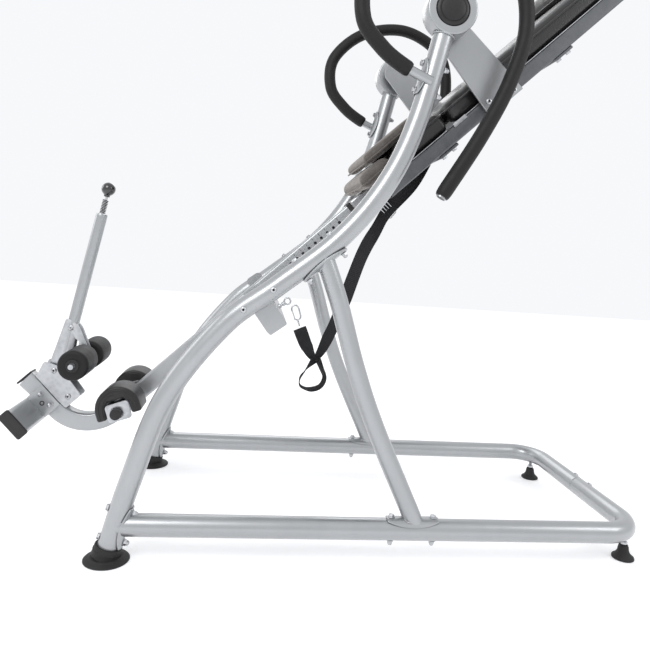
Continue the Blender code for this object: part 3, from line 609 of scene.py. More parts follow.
# The spigot inside the seam shows only as a thin bright line between the two rails.
seam = turned("rail_seam_spigot", [(0.0236, -0.02), (0.0238, -0.019), (0.0238, 0.019), (0.0236, 0.02)],
              (BASE_END_X + SHIFT, 0, RAIL_Z), (0, 1, 0))
fit(seam, zinc, "frame", "zinc_plate", "base_joiner")
rail_spots = []
for sign in (-1, 1):
    for step in (-0.034, 0.034):
        spot = Vector((rail_centre.x, sign * HALF_WIDTH, RAIL_Z)) + rail_run * step
        rail_spots.append((spot, rail_behind))
fasten("rail_fasteners", "frame",
       (hex_bolt, [(spot - way * BOLT_SEAT, -way) for spot, way in rail_spots]),
       (acorn_nut, [(spot + way * NUT_SEAT, way) for spot, way in rail_spots]),
       (button_bolt, [((BASE_END_X + SHIFT + TUBE_R * 0.62, y, RAIL_Z + TUBE_R * 0.772), (0.62, 0, 0.785))
                      for y in (-0.040, 0.040)]))

# ---- feet ----
# The posts stand in flared rubber boots; the back stands on two rubber bells, whose threaded stems screw
# into the rail and are locked by a nut.
rubber = Finish("black_rubber", 0.62, Specular_IOR_Level=0.3)
dust = rubber.noise(38.0, 6.0, 0.7)
rubber.feed(Base_Color=rubber.blend(dust, (0.007, 0.007, 0.008), (0.034, 0.033, 0.032)),
            Roughness=0.50 + dust * 0.25)
rubber.bump(rubber.noise(620.0) * 0.5 + dust * 0.5, 0.00022)

boot_lean = Vector((0.040, 0.0, 0.160)).normalized()
boot = joined("boot", [
    turned("boot_sole", [(0.0500, 0.0003), (0.0516, 0.0010), (0.0518, 0.0022), (0.0505, 0.0036),
                         (0.0455, 0.0052),
                         (0.0420, 0.0070), (0.0400, 0.0076), (0.0385, 0.0090), (0.0340, 0.0105),
                         (0.0272, 0.0105)],
           (SHIFT, -HALF_WIDTH, 0.0), sides=72),
    turned("boot_sleeve", [(0.0330, -0.011), (0.0326, 0.000), (0.0330, 0.0012), (0.0330, 0.0030),
                           (0.0318, 0.0040),
                           (0.0316, 0.0118), (0.0308, 0.0132), (0.0292, 0.0134), (0.0262, 0.0134),
                           (0.0262, -0.0020)],
           (SHIFT, -HALF_WIDTH, 0.020), boot_lean, 64)])
fit_pair(boot, "{}_post_boot", rubber, "frame", "black_rubber", "{}_front_foot")

foot_turn = radians(50)
foot_x = BASE_END_X - BASE_CORNER_R * (1 - sin(foot_turn)) + SHIFT
foot_y = -(HALF_WIDTH - BASE_CORNER_R * (1 - cos(foot_turn)))
bell = turned("bell", [(0.0262, 0.0004), (0.0276, 0.0010), (0.0279, 0.0030), (0.0272, 0.0060),
                       (0.0250, 0.0078),
                       (0.0205, 0.0110), (0.0165, 0.0160), (0.0142, 0.0215), (0.0138, 0.0245),
                       (0.0130, 0.0300),
                       (0.0118, 0.0330), (0.0112, 0.0350), (0.0070, 0.0358)], (foot_x, foot_y, 0), sides=56)
fit_pair(bell, "{}_levelling_bell", rubber, "{}_levelling_foot", "black_rubber", "{}_rear_foot")
threads_up = []
for turn_index in range(22):
    threads_up += [(0.0040, 0.0345 + 0.0016 * turn_index), (0.0049, 0.0353 + 0.0016 * turn_index)]
stem = joined("stem", [turned("thread", threads_up, (foot_x, foot_y, 0), sides=20, angle=20),
                       turned("lock_nut", [(0.0082, 0.0372), (0.0092, 0.0380), (0.0092, 0.0436),
                                           (0.0082, 0.0444)],
                              (foot_x, foot_y, 0), sides=6)])
fit_pair(stem, "{}_levelling_stem", zinc, "{}_levelling_foot", "zinc_plate")

# ---- rear legs ----
# 45 mm tube, welded at each end to a saddle that is bolted under the post and on top of the rail.
LEG_R = 0.0225
LEG_PATH = [(0.447, 0.735), (0.493, 0.622), (0.546, 0.465), (0.605, 0.322), (0.716, 0.100)]
leg_line = in_side_view(smooth_route(LEG_PATH, 81), -HALF_WIDTH)
leg_line = [leg_line[0] + (leg_line[0] - leg_line[1]).normalized() * 0.004] + leg_line
leg_line.append(leg_line[-1] + (leg_line[-1] - leg_line[-2]).normalized() * 0.010)
top_centre, top_run = on_route(post_line, 0.727, -HALF_WIDTH)
top_under = Vector((top_run.z, 0.0, -top_run.x))
foot_centre = Vector((0.712 + SHIFT, -HALF_WIDTH, RAIL_Z))
foot_up, rail_way = Vector((0, 0, 1)), Vector((1, 0, 0))


def onto_tube(centre, way):
    """Moves a point onto the saddle's outer face, round the tube that runs through centre."""
    def lay(point):
        offset = point - centre
        along = way * offset.dot(way)
        return centre + along + (offset - along).normalized() * (weld_reach + 0.0004)
    return lay


leg_foot = leg_line[-2] + (leg_line[-3] - leg_line[-2]).normalized() * 0.012
leg_top = leg_line[1] + (leg_line[3] - leg_line[1]).normalized() * 0.035
leg = joined("leg", [
    bent_rod("leg_tube", leg_line, LEG_R, round_steps=18),
    saddle("leg_top_saddle", 0.128, radians(62), top_centre, top_run, top_under),
    saddle("leg_foot_saddle", 0.128, radians(62), foot_centre, rail_way, foot_up),
    weld_bead("foot_weld", leg_foot, leg_line[-3] - leg_line[-2], LEG_R + 0.0008,
              squeeze=onto_tube(foot_centre,
                                                                                                rail_way)),
    weld_bead("top_weld", leg_top, leg_line[3] - leg_line[1], LEG_R + 0.0008, squeeze=onto_tube(top_centre,
                                                                                            top_run))])
fit_pair(leg, "{}_support_leg", silver, "frame", "silver_paint", "{}_rear_leg")
leg_spots = []
for sign in (-1, 1):
    for step in (-0.052, 0.052):
        leg_spots.append((Vector((top_centre.x, sign * HALF_WIDTH, top_centre.z)) + top_run * step,
                          top_under))
        leg_spots.append((Vector((foot_centre.x, sign * HALF_WIDTH, RAIL_Z)) + rail_way * step, foot_up))
heads = [(spot - way * BOLT_SEAT, -way) if way is top_under
         else (spot + way * NUT_SEAT, way) for spot, way in leg_spots]
nuts = [(spot + way * NUT_SEAT, way) if way is top_under
        else (spot - way * BOLT_SEAT, -way) for spot, way in leg_spots]
fasten("leg_fasteners", "frame", (hex_bolt, heads), (acorn_nut, nuts))

# ---- cross brace ----
# A folded sheet channel bolted between the posts, with a rubber bumper where the boom comes to rest and a
# plated eye on its back for the strap's hook.
paint_nodes(silver, "cross_brace")
fasten("brace_fasteners", "frame", (button_bolt, [
    (Vector((x, sign * HALF_WIDTH, z)) + Vector((0, sign * (TUBE_R - 0.0006), 0)), (0, sign, 0))
    for sign in (-1, 1) for x, z in [(point.x, point.z) for point in
                                     (on_route(post_line, 0.592, 0)[0], on_route(post_line, 0.642, 0)[0])]]))
brace_at, brace_run = on_route(post_line, 0.6155, 0.0)
brace_down = Vector((brace_run.z, 0.0, -brace_run.x))


def cuboid(size):
    """A cube pulled to size, round the world's origin."""
    put_down()
    bpy.ops.mesh.primitive_cube_add(size=1.0)
    block = bpy.context.object
    block.scale = size
    bpy.ops.object.transform_apply(location=True, rotation=True, scale=True)
    return block


def rounded_box(name, size, place, x_way, z_way, corner, steps=4, shape=None):
    """A moulded block: a cube pulled to size, its faces shaped in edit mode, its edges rounded."""
    block = cuboid(size)
    if shape:
        bpy.ops.object.mode_set(mode="EDIT")
        shape(block)
        bpy.ops.object.mode_set(mode="OBJECT")
    applied(block, "BEVEL", width=corner, segments=steps, limit_method="ANGLE", angle_limit=radians(40))
    x_way, z_way = Vector(x_way).normalized(), Vector(z_way).normalized()
    axes = Matrix((x_way, z_way.cross(x_way), z_way)).transposed().to_4x4()
    moved(block, Matrix.Translation(Vector(place)) @ axes)
    block.name = block.data.name = name
    return smoothed(block, 35)


def inset_top(block):
    """Sink a shallow panel in the top face."""
    bpy.ops.mesh.select_mode(type="FACE")
    bpy.ops.mesh.select_all(action="DESELECT")
    bpy.ops.object.mode_set(mode="OBJECT")
    for face in block.data.polygons:
        face.select = face.normal.z > 0.9
    bpy.ops.object.mode_set(mode="EDIT")
    bpy.ops.mesh.inset(thickness=0.005)
    bpy.ops.transform.translate(value=(0, 0, -0.0016))
    bpy.ops.mesh.select_mode(type="VERT")


bumper = rounded_box("boom_bumper", (0.040, 0.060, 0.0100), brace_at + brace_down * (0.0700 - 0.0284),
                     brace_run,
                     -brace_down, 0.0022, shape=inset_top)
fit(bumper, rubber, "frame", "black_rubber", "boom_rest")
eye_face = brace_at + brace_down * 0.0740 + brace_run * 0.0250
eye_ring = circle_points(eye_face + brace_run * 0.0295, brace_run * 0.0090, brace_down * 0.0090, 48)
eye = joined("brace_eye", [bent_rod("eye_ring", eye_ring, 0.0025, True, 6),
                           turned("eye_shank", [(0.0090, 0.0), (0.0092, 0.0014), (0.0070, 0.0018),
                                                (0.0068, 0.0060),
                                                (0.0042, 0.0068), (0.0040, 0.0205), (0.0034, 0.0220)],
                                  eye_face,
                                  brace_run, 32)])
fit(eye, zinc, "frame", "zinc_plate", "strap_eye")
fit(turned("eye_swivel", [(0.0046, 0.012), (0.0062, 0.013), (0.0066, 0.016), (0.0056, 0.019),
                          (0.0044, 0.0196)],
           eye_face, brace_run, 32), zinc, "frame", "zinc_plate")

# ---- hubs ----
# A short silver drum is welded on each post's top to hold the bearing, and a domed black cap is pressed in.
ring_profile = [(0.0580, 0.0300), (0.0600, 0.0296), (0.0614, 0.0284), (0.0620, 0.0266), (0.0620, -0.0266),
                (0.0614, -0.0284), (0.0600, -0.0296), (0.0580, -0.0300), (0.0340, -0.0300), (0.0330, -0.0280),
                (0.0250, -0.0280), (0.0240, -0.0300), (0.0120, -0.0300), (0.0106, -0.0280), (0.0106, 0.0150),
                (0.0424, 0.0158), (0.0424, 0.0290), (0.0434, 0.0300)]
ring = turned("hub", ring_profile, hub_centre, (0, -1, 0), 96, hollow=True)
collar_way = (post_line[-1] - post_line[-4]).normalized()
ring = joined("hub", [ring, weld_bead("hub_weld", hub_centre - collar_way * 0.0610, collar_way,
                                      TUBE_R + 0.0012,
                                      0.0026)])
fit_pair(ring, "{}_hub_drum", silver, "frame", "silver_paint", "{}_hub_ring")

plastic = Finish("black_plastic", 0.38, Specular_IOR_Level=0.35)
grain = plastic.cells(900.0)
scuffs = plastic.noise(26.0, 5.0, 0.7)
plastic.feed(Base_Color=plastic.blend(scuffs, (0.010, 0.010, 0.011), (0.030, 0.029, 0.029)),
             Roughness=0.26 + scuffs * 0.24)
plastic.bump(grain * 0.7 + plastic.noise(300.0) * 0.3, 0.00007)
cap = turned("cap", [(0.0400, 0.0163), (0.0412, 0.0170), (0.0414, 0.0262), (0.0404, 0.0286), (0.0382, 0.0300),
                     (0.0350, 0.0312), (0.0330, 0.0306), (0.0312, 0.0306), (0.0296, 0.0330), (0.0240, 0.0346),
                     (0.0160, 0.0356), (0.0080, 0.0360), (0.0010, 0.0361)], hub_centre, (0, -1, 0), 80)
fit_pair(cap, "{}_hub_dome", plastic, "frame", "black_plastic", "{}_hub_cap")

# ---- handlebars ----
# A thin steel bar arches forward and back over each hub, in one long foam grip that is glossy where it is
# held. Its lower end has a bright ring and a plug, and its front end is welded to a bracket on the post.
HANDLE_Y = -0.330
HANDLE_PATH = [(0.676, 1.166), (0.607, 1.196), (0.549, 1.236), (0.500, 1.300), (0.505, 1.400), (0.600, 1.492),
               (0.745, 1.520), (0.870, 1.455), (0.905, 1.330), (0.874, 1.190), (0.811, 1.050), (0.719, 0.888)]
foam = Finish("black_foam", 0.5, Specular_IOR_Level=0.35)
pores = foam.cells(700.0)
dents = foam.noise(55.0, 4.0)
foam.feed(Base_Color=foam.blend(pores * 0.6 + dents * 0.4, (0.0015, 0.0015, 0.0018), (0.008, 0.0075, 0.008)),
          Roughness=0.42 + dents * 0.22)
foam.bump(pores * 0.35 + dents * 0.65, 0.0006)

handle_line = in_side_view(smooth_route(HANDLE_PATH, 231), HANDLE_Y)
bracket_at, bracket_run = on_route(post_line, 1.175, -HALF_WIDTH)
bracket_front = Vector((-bracket_run.z, 0.0, bracket_run.x))
bar = joined("bar", [bent_rod("bar_tube", handle_line, 0.0123, round_steps=12),
                     saddle("bar_bracket", 0.090, radians(55), bracket_at, bracket_run, bracket_front,
                            SADDLE_REACH + 0.0006)])
fit_pair(bar, "{}_handle_bar", silver, "frame", "silver_paint", "{}_handlebar")
grip_line = handle_line[16:]
grip_line[-1] = grip_line[-2].lerp(grip_line[-1], 0.5)
grip_swell = [1.0 - 0.16 * max(0.0, 1 - min(i, len(grip_line) - 1 - i) / 3.0) ** 2
              for i in range(len(grip_line))]
grip = bent_rod("grip", grip_line, 0.0190, round_steps=16, swell=grip_swell)
fit_pair(grip, "{}_foam_grip", foam, "frame", "black_foam", "{}_grip")
handle_end = handle_line[-1]
end_way = (handle_line[-1] - handle_line[-3]).normalized()
plug = turned("plug", [(0.0112, -0.004), (0.0112, -0.0010), (0.0106, 0.0002), (0.0080, 0.0006),
                       (0.0040, 0.0008)],
              handle_end, end_way, 40)
fit_pair(plug, "{}_bar_plug", plastic, "frame", "black_plastic")
bracket_spots = [(Vector((bracket_at.x, sign * HALF_WIDTH, bracket_at.z)) + bracket_run * step, bracket_front)
                 for sign in (-1, 1) for step in (-0.034, 0.034)]
fasten("bracket_fasteners", "frame",
       (hex_bolt, [(spot + way * (weld_reach + 0.0002), way) for spot, way in bracket_spots]),
       (acorn_nut, [(spot - way * BOLT_SEAT, -way) for spot, way in bracket_spots]))

# ---- bed frame ----
# Two dark box-section rails hang from the hubs on silver arm plates, with bushes between; flat crossbars
# are bolted under them.
BED_UP = Vector((cos(RECLINE), 0.0, sin(RECLINE)))
BED_OUT = Vector((-sin(RECLINE), 0.0, cos(RECLINE)))
BED_AXES = Matrix.Translation(PIVOT) @ Matrix((BED_UP, Vector((0, 1, 0)), BED_OUT)).transposed().to_4x4()

dark_grey = Finish("dark_grey_paint", 0.40, 0.25, Coat_Weight=0.3, Coat_Roughness=0.25)
mottle = dark_grey.noise(30.0, 5.0, 0.65)
dark_grey.feed(Base_Color=dark_grey.blend(mottle, (0.060, 0.064, 0.070), (0.125, 0.130, 0.138)),
               Roughness=0.30 + mottle * 0.18)
dark_grey.bump(dark_grey.noise(520.0), 0.00008)
black_steel = Finish("black_powder_coat", 0.45, 0.2)
speckle = black_steel.noise(700.0, 2.0)
black_steel.feed(Base_Color=black_steel.blend(black_steel.noise(24.0, 5.0), (0.008, 0.008, 0.009),
                                              (0.028, 0.028, 0.030)), Roughness=0.34 + speckle * 0.2)
black_steel.bump(speckle, 0.00015)


def on_bed(s, y, t):
    return BED_AXES @ Vector((s, y, t))


def to_bed(piece):
    """Carry a piece drawn in (s, y, t) to its place on the reclined bed."""
    return moved(piece, BED_AXES)


def select_where(piece, kind, test):
    """Select the edges or faces that pass a test, in edit mode."""
    bpy.ops.object.mode_set(mode="EDIT")
    bpy.ops.mesh.select_mode(type=kind)
    bpy.ops.mesh.select_all(action="DESELECT")
    bpy.ops.object.mode_set(mode="OBJECT")
    for part in piece.data.edges if kind == "EDGE" else piece.data.polygons:
        part.select = test(part)
    bpy.ops.object.mode_set(mode="EDIT")


def square_tube(name, length, across, depth, corner, wall=0.002, place=(0, 0, 0), turn=None):
    """Box-section tube along X: a long block with rounded long edges and its ends hollowed."""
    tube = cuboid((length, across, depth))
    select_where(tube, "EDGE", lambda edge: abs(tube.data.vertices[edge.vertices[0]].co.x
                                                - tube.data.vertices[edge.vertices[1]].co.x) > length / 2)
    bpy.ops.mesh.bevel(offset=corner, segments=6, affect="EDGES")
    select_where(tube, "FACE", lambda face: abs(face.normal.x) > 0.9)
    bpy.ops.mesh.inset(thickness=wall)
    bpy.ops.mesh.extrude_region_shrink_fatten(TRANSFORM_OT_shrink_fatten={"value": -0.030})
    bpy.ops.mesh.select_mode(type="VERT")
    bpy.ops.object.mode_set(mode="OBJECT")
    moved(tube, Matrix.Translation(Vector(place)) @ (turn or Matrix.Identity(4)))
    tube.name = tube.data.name = name
    return smoothed(tube, 35)


RAIL_T, RAIL_Y = -0.2415, 0.215
bed_rail = to_bed(square_tube("bed_rail", 0.995, 0.040, 0.038, 0.006, place=(0.1125, -RAIL_Y, RAIL_T)))
fit_pair(bed_rail, "{}_bed_box_rail", dark_grey, "bed", "dark_grey_paint", "{}_bed_rail")
rail_plugs = [to_bed(rounded_box("rail_plug", (0.0400, 0.0380, 0.0040), (s, -RAIL_Y, RAIL_T), (0, 1, 0),
                                 (way, 0, 0),
                                 0.0016, shape=inset_top)) for s, way in ((0.6118, 1), (-0.3868, -1))]
fit_pair(joined("rail_plugs", rail_plugs), "{}_rail_plugs", plastic, "bed", "black_plastic")
paint_nodes(dark_grey, "lower_bed_crossbar", "upper_bed_crossbar")
paint_nodes(silver, "left_pivot_arm", "right_pivot_arm")
paint_nodes(zinc, "left_pivot_pin", "right_pivot_pin")
spacer = [(0.0100, 0.0003), (0.0120, 0.0010), (0.0120, 0.0085), (0.0100, 0.0092)]
spacers = [turned("spacer", spacer, on_bed(s, -0.235, -0.242), (0, -1, 0), 36) for s in (-0.036, 0.036)]
fit_pair(joined("arm_spacers", spacers), "{}_arm_spacers", zinc, "bed", "zinc_plate")
arm_spots = [(on_bed(s, sign * 0.2523, t), (0, sign, 0)) for sign in (-1, 1) for s in (-0.036, 0.036)
             for t in (-0.232, -0.252)]
bar_spots = [(on_bed(s + step, sign * RAIL_Y, -0.2686), -BED_OUT) for sign in (-1, 1) for s in (-0.190, 0.220)
             for step in (-0.017, 0.017)]
sleeve_spots = [(on_bed(s + step, 0.0, -0.2686), -BED_OUT) for s in (-0.190, 0.220)
                for step in (-0.019, 0.019)
                if s > 0]
fasten("bed_fasteners", "bed", (button_bolt, arm_spots), (hex_bolt, bar_spots + sleeve_spots))

# ---- boom sleeve ----
# A silver box sleeve, bolted along the middle of the crossbars, with a moulded collar at its mouth and a
# sprung pull knob whose pin drops in the boom's holes.
paint_nodes(silver, "boom_sleeve")
paint_nodes(plastic, "sleeve_collar")
BOOM_T, BOOM_DEPTH, BOOM_WIDTH = -0.235, 0.0470, 0.0384
pull = turned("pull", [(0.0050, 0.0002), (0.0050, 0.0022), (0.0082, 0.0024), (0.0082, 0.0120),
                       (0.0100, 0.0290),
                       (0.0104, 0.0300), (0.0140, 0.0330), (0.0158, 0.0370), (0.0162, 0.0420),
                       (0.0156, 0.0450),
                       (0.0162, 0.0480), (0.0162, 0.0540), (0.0148, 0.0580), (0.0118, 0.0604),
                       (0.0060, 0.0616),
                       (0.0010, 0.0620)], (-0.355, -BOOM_WIDTH / 2 - 0.0004, BOOM_T), (0, -1, 0), 56)
fit(to_bed(pull), black_steel, "selector", "black_steel", "selector_pin")

# ---- upholstered pads ----
# Foam on painted plywood boards, covered in glossy black vinyl that is stapled under the edge and piped
# round the side; a thin plated strip under each side edge is a painted highlight, standing for the line of
# reflected light there. The back pad and the short lower pad meet at a seam.
vinyl = Finish("black_vinyl", 0.34, Coat_Weight=0.25, Coat_Roughness=0.18)
hide = vinyl.cells(330.0, "F1")
creases = vinyl.noise(16.0, 6.0, 0.62)
vinyl.feed(Base_Color=vinyl.blend(creases * 0.6 + hide * 0.4, (0.003, 0.003, 0.0035), (0.012, 0.0115, 0.012)),
           Roughness=0.24 + creases * 0.20)
vinyl.bump(hide * 0.55 + creases * 0.9, 0.0007)
board_paint = Finish("black_plywood", 0.7)
board_grain = board_paint.noise(30.0, 5.0, 0.6, (0.15, 1.0, 1.0))
board_paint.feed(Base_Color=board_paint.blend(board_grain, (0.010, 0.009, 0.008), (0.040, 0.036, 0.032)))
board_paint.bump(board_grain, 0.0003)

PAD_HALF_W, SKIRT_T, CHANNEL_HALF_W, CHANNEL_T, PAD_TOP_T = 0.232, -0.2222, 0.192, -0.2030, -0.1640


def stuffed(name, low, high, corner, plan_corner, crown, most, floor_t, voxel=0.006, channel_t=None):
    """A cushion between two (s, y, t) corners: a rounded block with a crowned top, blown up as cloth.

    No point moves further than most, and none goes under floor_t, where the cushion rests. A channel
    under its middle, between its skirts, is cut up to channel_t.
    """
    low, high = Vector(low), Vector(high)
    half, middle = (high - low) / 2, (high + low) / 2
    cushion = cuboid((2 * half.x - 0.006, 2 * half.y - 0.006, 2 * half.z - 0.004))
    select_where(cushion, "EDGE", lambda edge: abs(cushion.data.vertices[edge.vertices[0]].co.z
                                                   - cushion.data.vertices[edge.vertices[1]].co.z) > half.z)
    bpy.ops.mesh.bevel(offset=plan_corner, segments=6, affect="EDGES")
    bpy.ops.mesh.select_mode(type="VERT")
    bpy.ops.object.mode_set(mode="OBJECT")
    applied(cushion, "BEVEL", width=corner, segments=5, limit_method="ANGLE", angle_limit=radians(50))
    applied(cushion, "REMESH", mode="VOXEL", voxel_size=voxel)
    for vert in cushion.data.vertices:
        a, b = vert.co.x / half.x, vert.co.y / half.y
        rise = max(0.0, 1 - a ** 4) * max(0.0, 1 - b ** 4) * max(0.0, vert.co.z / half.z)
        vert.co.z += crown * rise
        vert.co += middle
    start = [vert.co.copy() for vert in cushion.data.vertices]
    pick_up(cushion)
    cloth = cushion.modifiers.new("stuffing", "CLOTH")
    cloth.settings.quality = 4
    cloth.settings.mass = 0.3
    cloth.settings.use_pressure = True
    cloth.settings.uniform_pressure_force = 4.0
    cloth.settings.effector_weights.gravity = 0.0
    cloth.collision_settings.use_collision = False
    cloth.point_cache.frame_start, cloth.point_cache.frame_end = 1, 20
    for step in range(1, 21):
        bpy.context.scene.frame_set(step)
    bpy.ops.object.modifier_apply(modifier=cloth.name)
    bpy.context.scene.frame_set(1)
    for vert, place in zip(cushion.data.vertices, start):
        moved = vert.co - place
        if moved.length > most:
            vert.co = place + moved.normalized() * most
    for vert in cushion.data.vertices:
        vert.co.z = max(vert.co.z, channel_t if channel_t and abs(vert.co.y) < CHANNEL_HALF_W else floor_t)
    applied(cushion, "SUBSURF", levels=1, render_levels=1)
    cushion.name = cushion.data.name = name
    return smoothed(cushion, 80)


def plan_loop(low, high, corner, t, steps=8):
    """A closed loop of points round a cushion's plan at the height t."""
    middle_s, middle_y = (low[0] + high[0]) / 2, (low[1] + high[1]) / 2
    return [Vector((middle_s + a, middle_y + b, t)) for a, b in
            rounded_loop((high[0] - low[0]) / 2, (high[1] - low[1]) / 2, corner, steps)]


for name, node, start, end, corner, crown, most in (
        ("back", "back_pad", -0.1420, 0.620, 0.040, 0.005, 0.006),
        ("lower", "lower_pad", -0.302, -0.1440, 0.020, 0.001, 0.002)):
    pad_low, pad_high = (start, -PAD_HALF_W, SKIRT_T), (end, PAD_HALF_W, PAD_TOP_T)
    pad = to_bed(stuffed(name + "_pad_cover", pad_low, pad_high, 0.014, corner, crown, most, SKIRT_T,
                         channel_t=CHANNEL_T))
    fit(pad, vinyl, "bed", "black_vinyl", node)
    welt = to_bed(bent_rod(name + "_pad_piping", plan_loop((start + 0.001, -0.2315), (end - 0.001, 0.2315),
                                                           corner,
                                                           -0.1800), 0.0030, True, 5))
    fit(welt, vinyl, "bed", "black_vinyl")
    board = to_bed(rounded_box(name + "_pad_board", (end - start - 0.006, 0.376, 0.0058),
                               ((start + end) / 2, 0, -0.2062), (1, 0, 0), (0, 0, 1), 0.0016))
    fit(board, board_paint, "bed", "black_vinyl")
    # Painted highlight: a thin plated rod along each side, under the edge, puts bright metal where the
    # vinyl's edge reflects light.
    edges = [bent_rod("edge", [Vector((s, sign * 0.2325, -0.2206)) for s in (start + 0.020, 0.3, end - 0.020)
                               if start < s < end], 0.0014, round_steps=3) for sign in (-1, 1)]
    edge = to_bed(joined(name + "_pad_highlight_strip", edges))
    fit(edge, zinc, "bed", "zinc_plate")
clips = [to_bed(rounded_box("seam_clip", (0.043, 0.0022, 0.010), (-0.1215, sign * 0.2362, -0.2225), (1, 0, 0),
                            (0, 0, 1), 0.0009, 3)) for sign in (-1, 1)]
fit(joined("pad_seam_clips", clips), zinc, "bed", "zinc_plate")

# ---- soft cushions ----
# Fat bolsters under the hips and in the small of the back, in brushed suede with a stitched welt round each
# end, and a vinyl head pillow held by hook-and-loop straps. The suede's grey-brown colour is painted
# reflection: it stands for the pale light that the cushions' dark ends reflect.
painted_reflection_suede = Finish("grey_suede", 0.92, Sheen_Weight=0.55, Sheen_Roughness=0.45,
               Sheen_Tint=(0.75, 0.70, 0.66, 1.0))
nap = painted_reflection_suede.noise(240.0, 4.0, 0.7)
brushed = painted_reflection_suede.noise(13.0, 5.0, 0.65, (1.0, 0.4, 1.0))
# Painted reflection: the grey-brown tone between these two colours stands for light reflected off the
# cushions; the nap and streak noise vary it.
painted_reflection_suede.feed(Base_Color=painted_reflection_suede.blend(painted_reflection_suede.spread(nap * 0.45 + brushed * 0.55, 0.35, 0.65),
                                  (0.050, 0.044, 0.040),
                                  (0.135, 0.122, 0.112)))
painted_reflection_suede.bump(nap * 0.6 + brushed * 0.8, 0.0010)
for name, node, low, high, corner, rest in (
        ("hip_bolster", "hip_cushion", (-0.416, -0.178, -0.2090), (-0.306, 0.178, -0.1675), 0.018, -0.2092),
        ("lumbar_bolster", "lumbar_cushion", (-0.368, -0.168, -0.1620), (-0.167, 0.168, -0.1310), 0.013,
         -0.1627)):
    bolster = to_bed(stuffed(name, low, high, corner, 0.024, 0.001, 0.003, rest, 0.0055))
    fit(bolster, painted_reflection_suede, "bed", "grey_suede", node)
    middle = (low[2] + high[2]) / 2
    welt = to_bed(bent_rod(name + "_welt", plan_loop((low[0] + 0.0005, low[1] + 0.0005),
                                                     (high[0] - 0.0005, high[1] - 0.0005), 0.022,
                                                     middle - 0.004),
                           0.0022, True, 4))
    fit(welt, painted_reflection_suede, "bed", "grey_suede")
pillow = to_bed(stuffed("head_pillow_cover", (0.402, -0.148, -0.1630), (0.578, 0.148, -0.1150), 0.020, 0.024,
                        0.004,
                        0.007, -0.1640, 0.0055))
fit(pillow, vinyl, "bed", "black_vinyl", "head_pillow")
welt = to_bed(bent_rod("head_pillow_piping", plan_loop((0.4025, -0.1475), (0.5775, 0.1475), 0.024, -0.1420),
                       0.0025,
                       True, 4))
fit(welt, vinyl, "bed", "black_vinyl")
# Two webbing straps run from under the pillow, flat across the pad, and turn down its sides.
for side, sign in (("left", -1), ("right", 1)):
    run = [(0.490, sign * y, t) for y, t in ((0.120, -0.1585), (0.160, -0.1560), (0.200, -0.1585),
                                             (0.224, -0.1650),
                                             (0.2350, -0.1780), (0.2362, -0.1950), (0.2350, -0.2150))]
    run = [BED_AXES @ Vector(p) for p in run]
    line = [run[0].lerp(run[1], 0)]
    for first, second in zip(run, run[1:]):
        line += [first.lerp(second, step / 5) for step in range(1, 6)]
    band = strip(side + "_pillow_strap", line, [BED_UP] * len(line), [0.025] * len(line), [0.0] * len(line))
    fit(band, webbing, "bed", "black_webbing")
    round(sum((b - a).length for a, b in zip(line, line[1:])), 3)

# ---- boom ----
# One length of silver box tube slides in the sleeve and turns up at the foot end; its near wall has a row
# of height holes, and a thin black cap closes its top.
BOOM_END_S, BOOM_BEND_R = -1.430, 0.115
HEEL_S, HEEL_T = -1.276, -0.231
bend_s, bend_t = BOOM_END_S + BOOM_BEND_R, BOOM_T + BOOM_BEND_R
boom_line = [Vector((s, 0.0, BOOM_T)) for s in (0.120, -0.30, -0.80, -1.20)]
boom_line += [Vector((bend_s + BOOM_BEND_R * cos(a), 0.0, bend_t + BOOM_BEND_R * sin(a)))
              for a in [radians(270 - 90 * i / 36) for i in range(37)]]
boom_line.append(Vector((BOOM_END_S, 0.0, -0.060)))
boom_line.append(Vector((BOOM_END_S - 0.004, 0.0, -0.008)))


def swept_section(name, points, half_w, half_d, corner):
    """Box tube bent along points, with open ends and a 2 mm wall."""
    section = poly_curve([(a, b, 0.0) for a, b in reversed(rounded_loop(half_w, half_d, corner, 6))], True)
    section.data.dimensions = "2D"
    guide = poly_curve(points)
    guide.data.bevel_mode = "OBJECT"
    guide.data.bevel_object = section
    guide.data.twist_mode = "Z_UP"
    bpy.ops.object.convert(target="MESH")
    tube = bpy.context.object
    bpy.data.objects.remove(section)
    applied(tube, "SOLIDIFY", thickness=0.002, offset=-1.0)
    tube.name = tube.data.name = name
    return tube


HOLES, FIRST_HOLE_S, HOLE_PITCH = 9, -0.505, 0.0228
hole_places = [FIRST_HOLE_S - HOLE_PITCH * index for index in range(HOLES)]
boom = swept_section("boom_tube", boom_line, BOOM_WIDTH / 2, BOOM_DEPTH / 2, 0.007)
drills = joined("drills", [turned("drill", [(0.0045, -0.006), (0.0045, 0.006)],
                                  (s, -BOOM_WIDTH / 2, BOOM_T), (0, 1, 0), 24)
                           for s in hole_places])
applied(boom, "BOOLEAN", operation="DIFFERENCE", object=drills, solver="EXACT")
pick_up(drills)
bpy.ops.object.delete()
fit(to_bed(smoothed(boom, 35)), silver, "boom", "silver_paint", "boom")
paint_nodes(plastic, "boom_end_cap")
# Each hole is marked with a short printed tick, longer at every third.
ticks = [to_bed(rounded_box("tick", (0.0012, 0.0003, 0.006 if index % 3 else 0.010),
                            (s, -BOOM_WIDTH / 2 - 0.00005, BOOM_T + 0.0125), (1, 0, 0), (0, 0, 1),
                            0.0001, 1)) for index, s in enumerate(hole_places)]
fit(joined("boom_scale_ticks", ticks), black_steel, "boom", "black_steel")

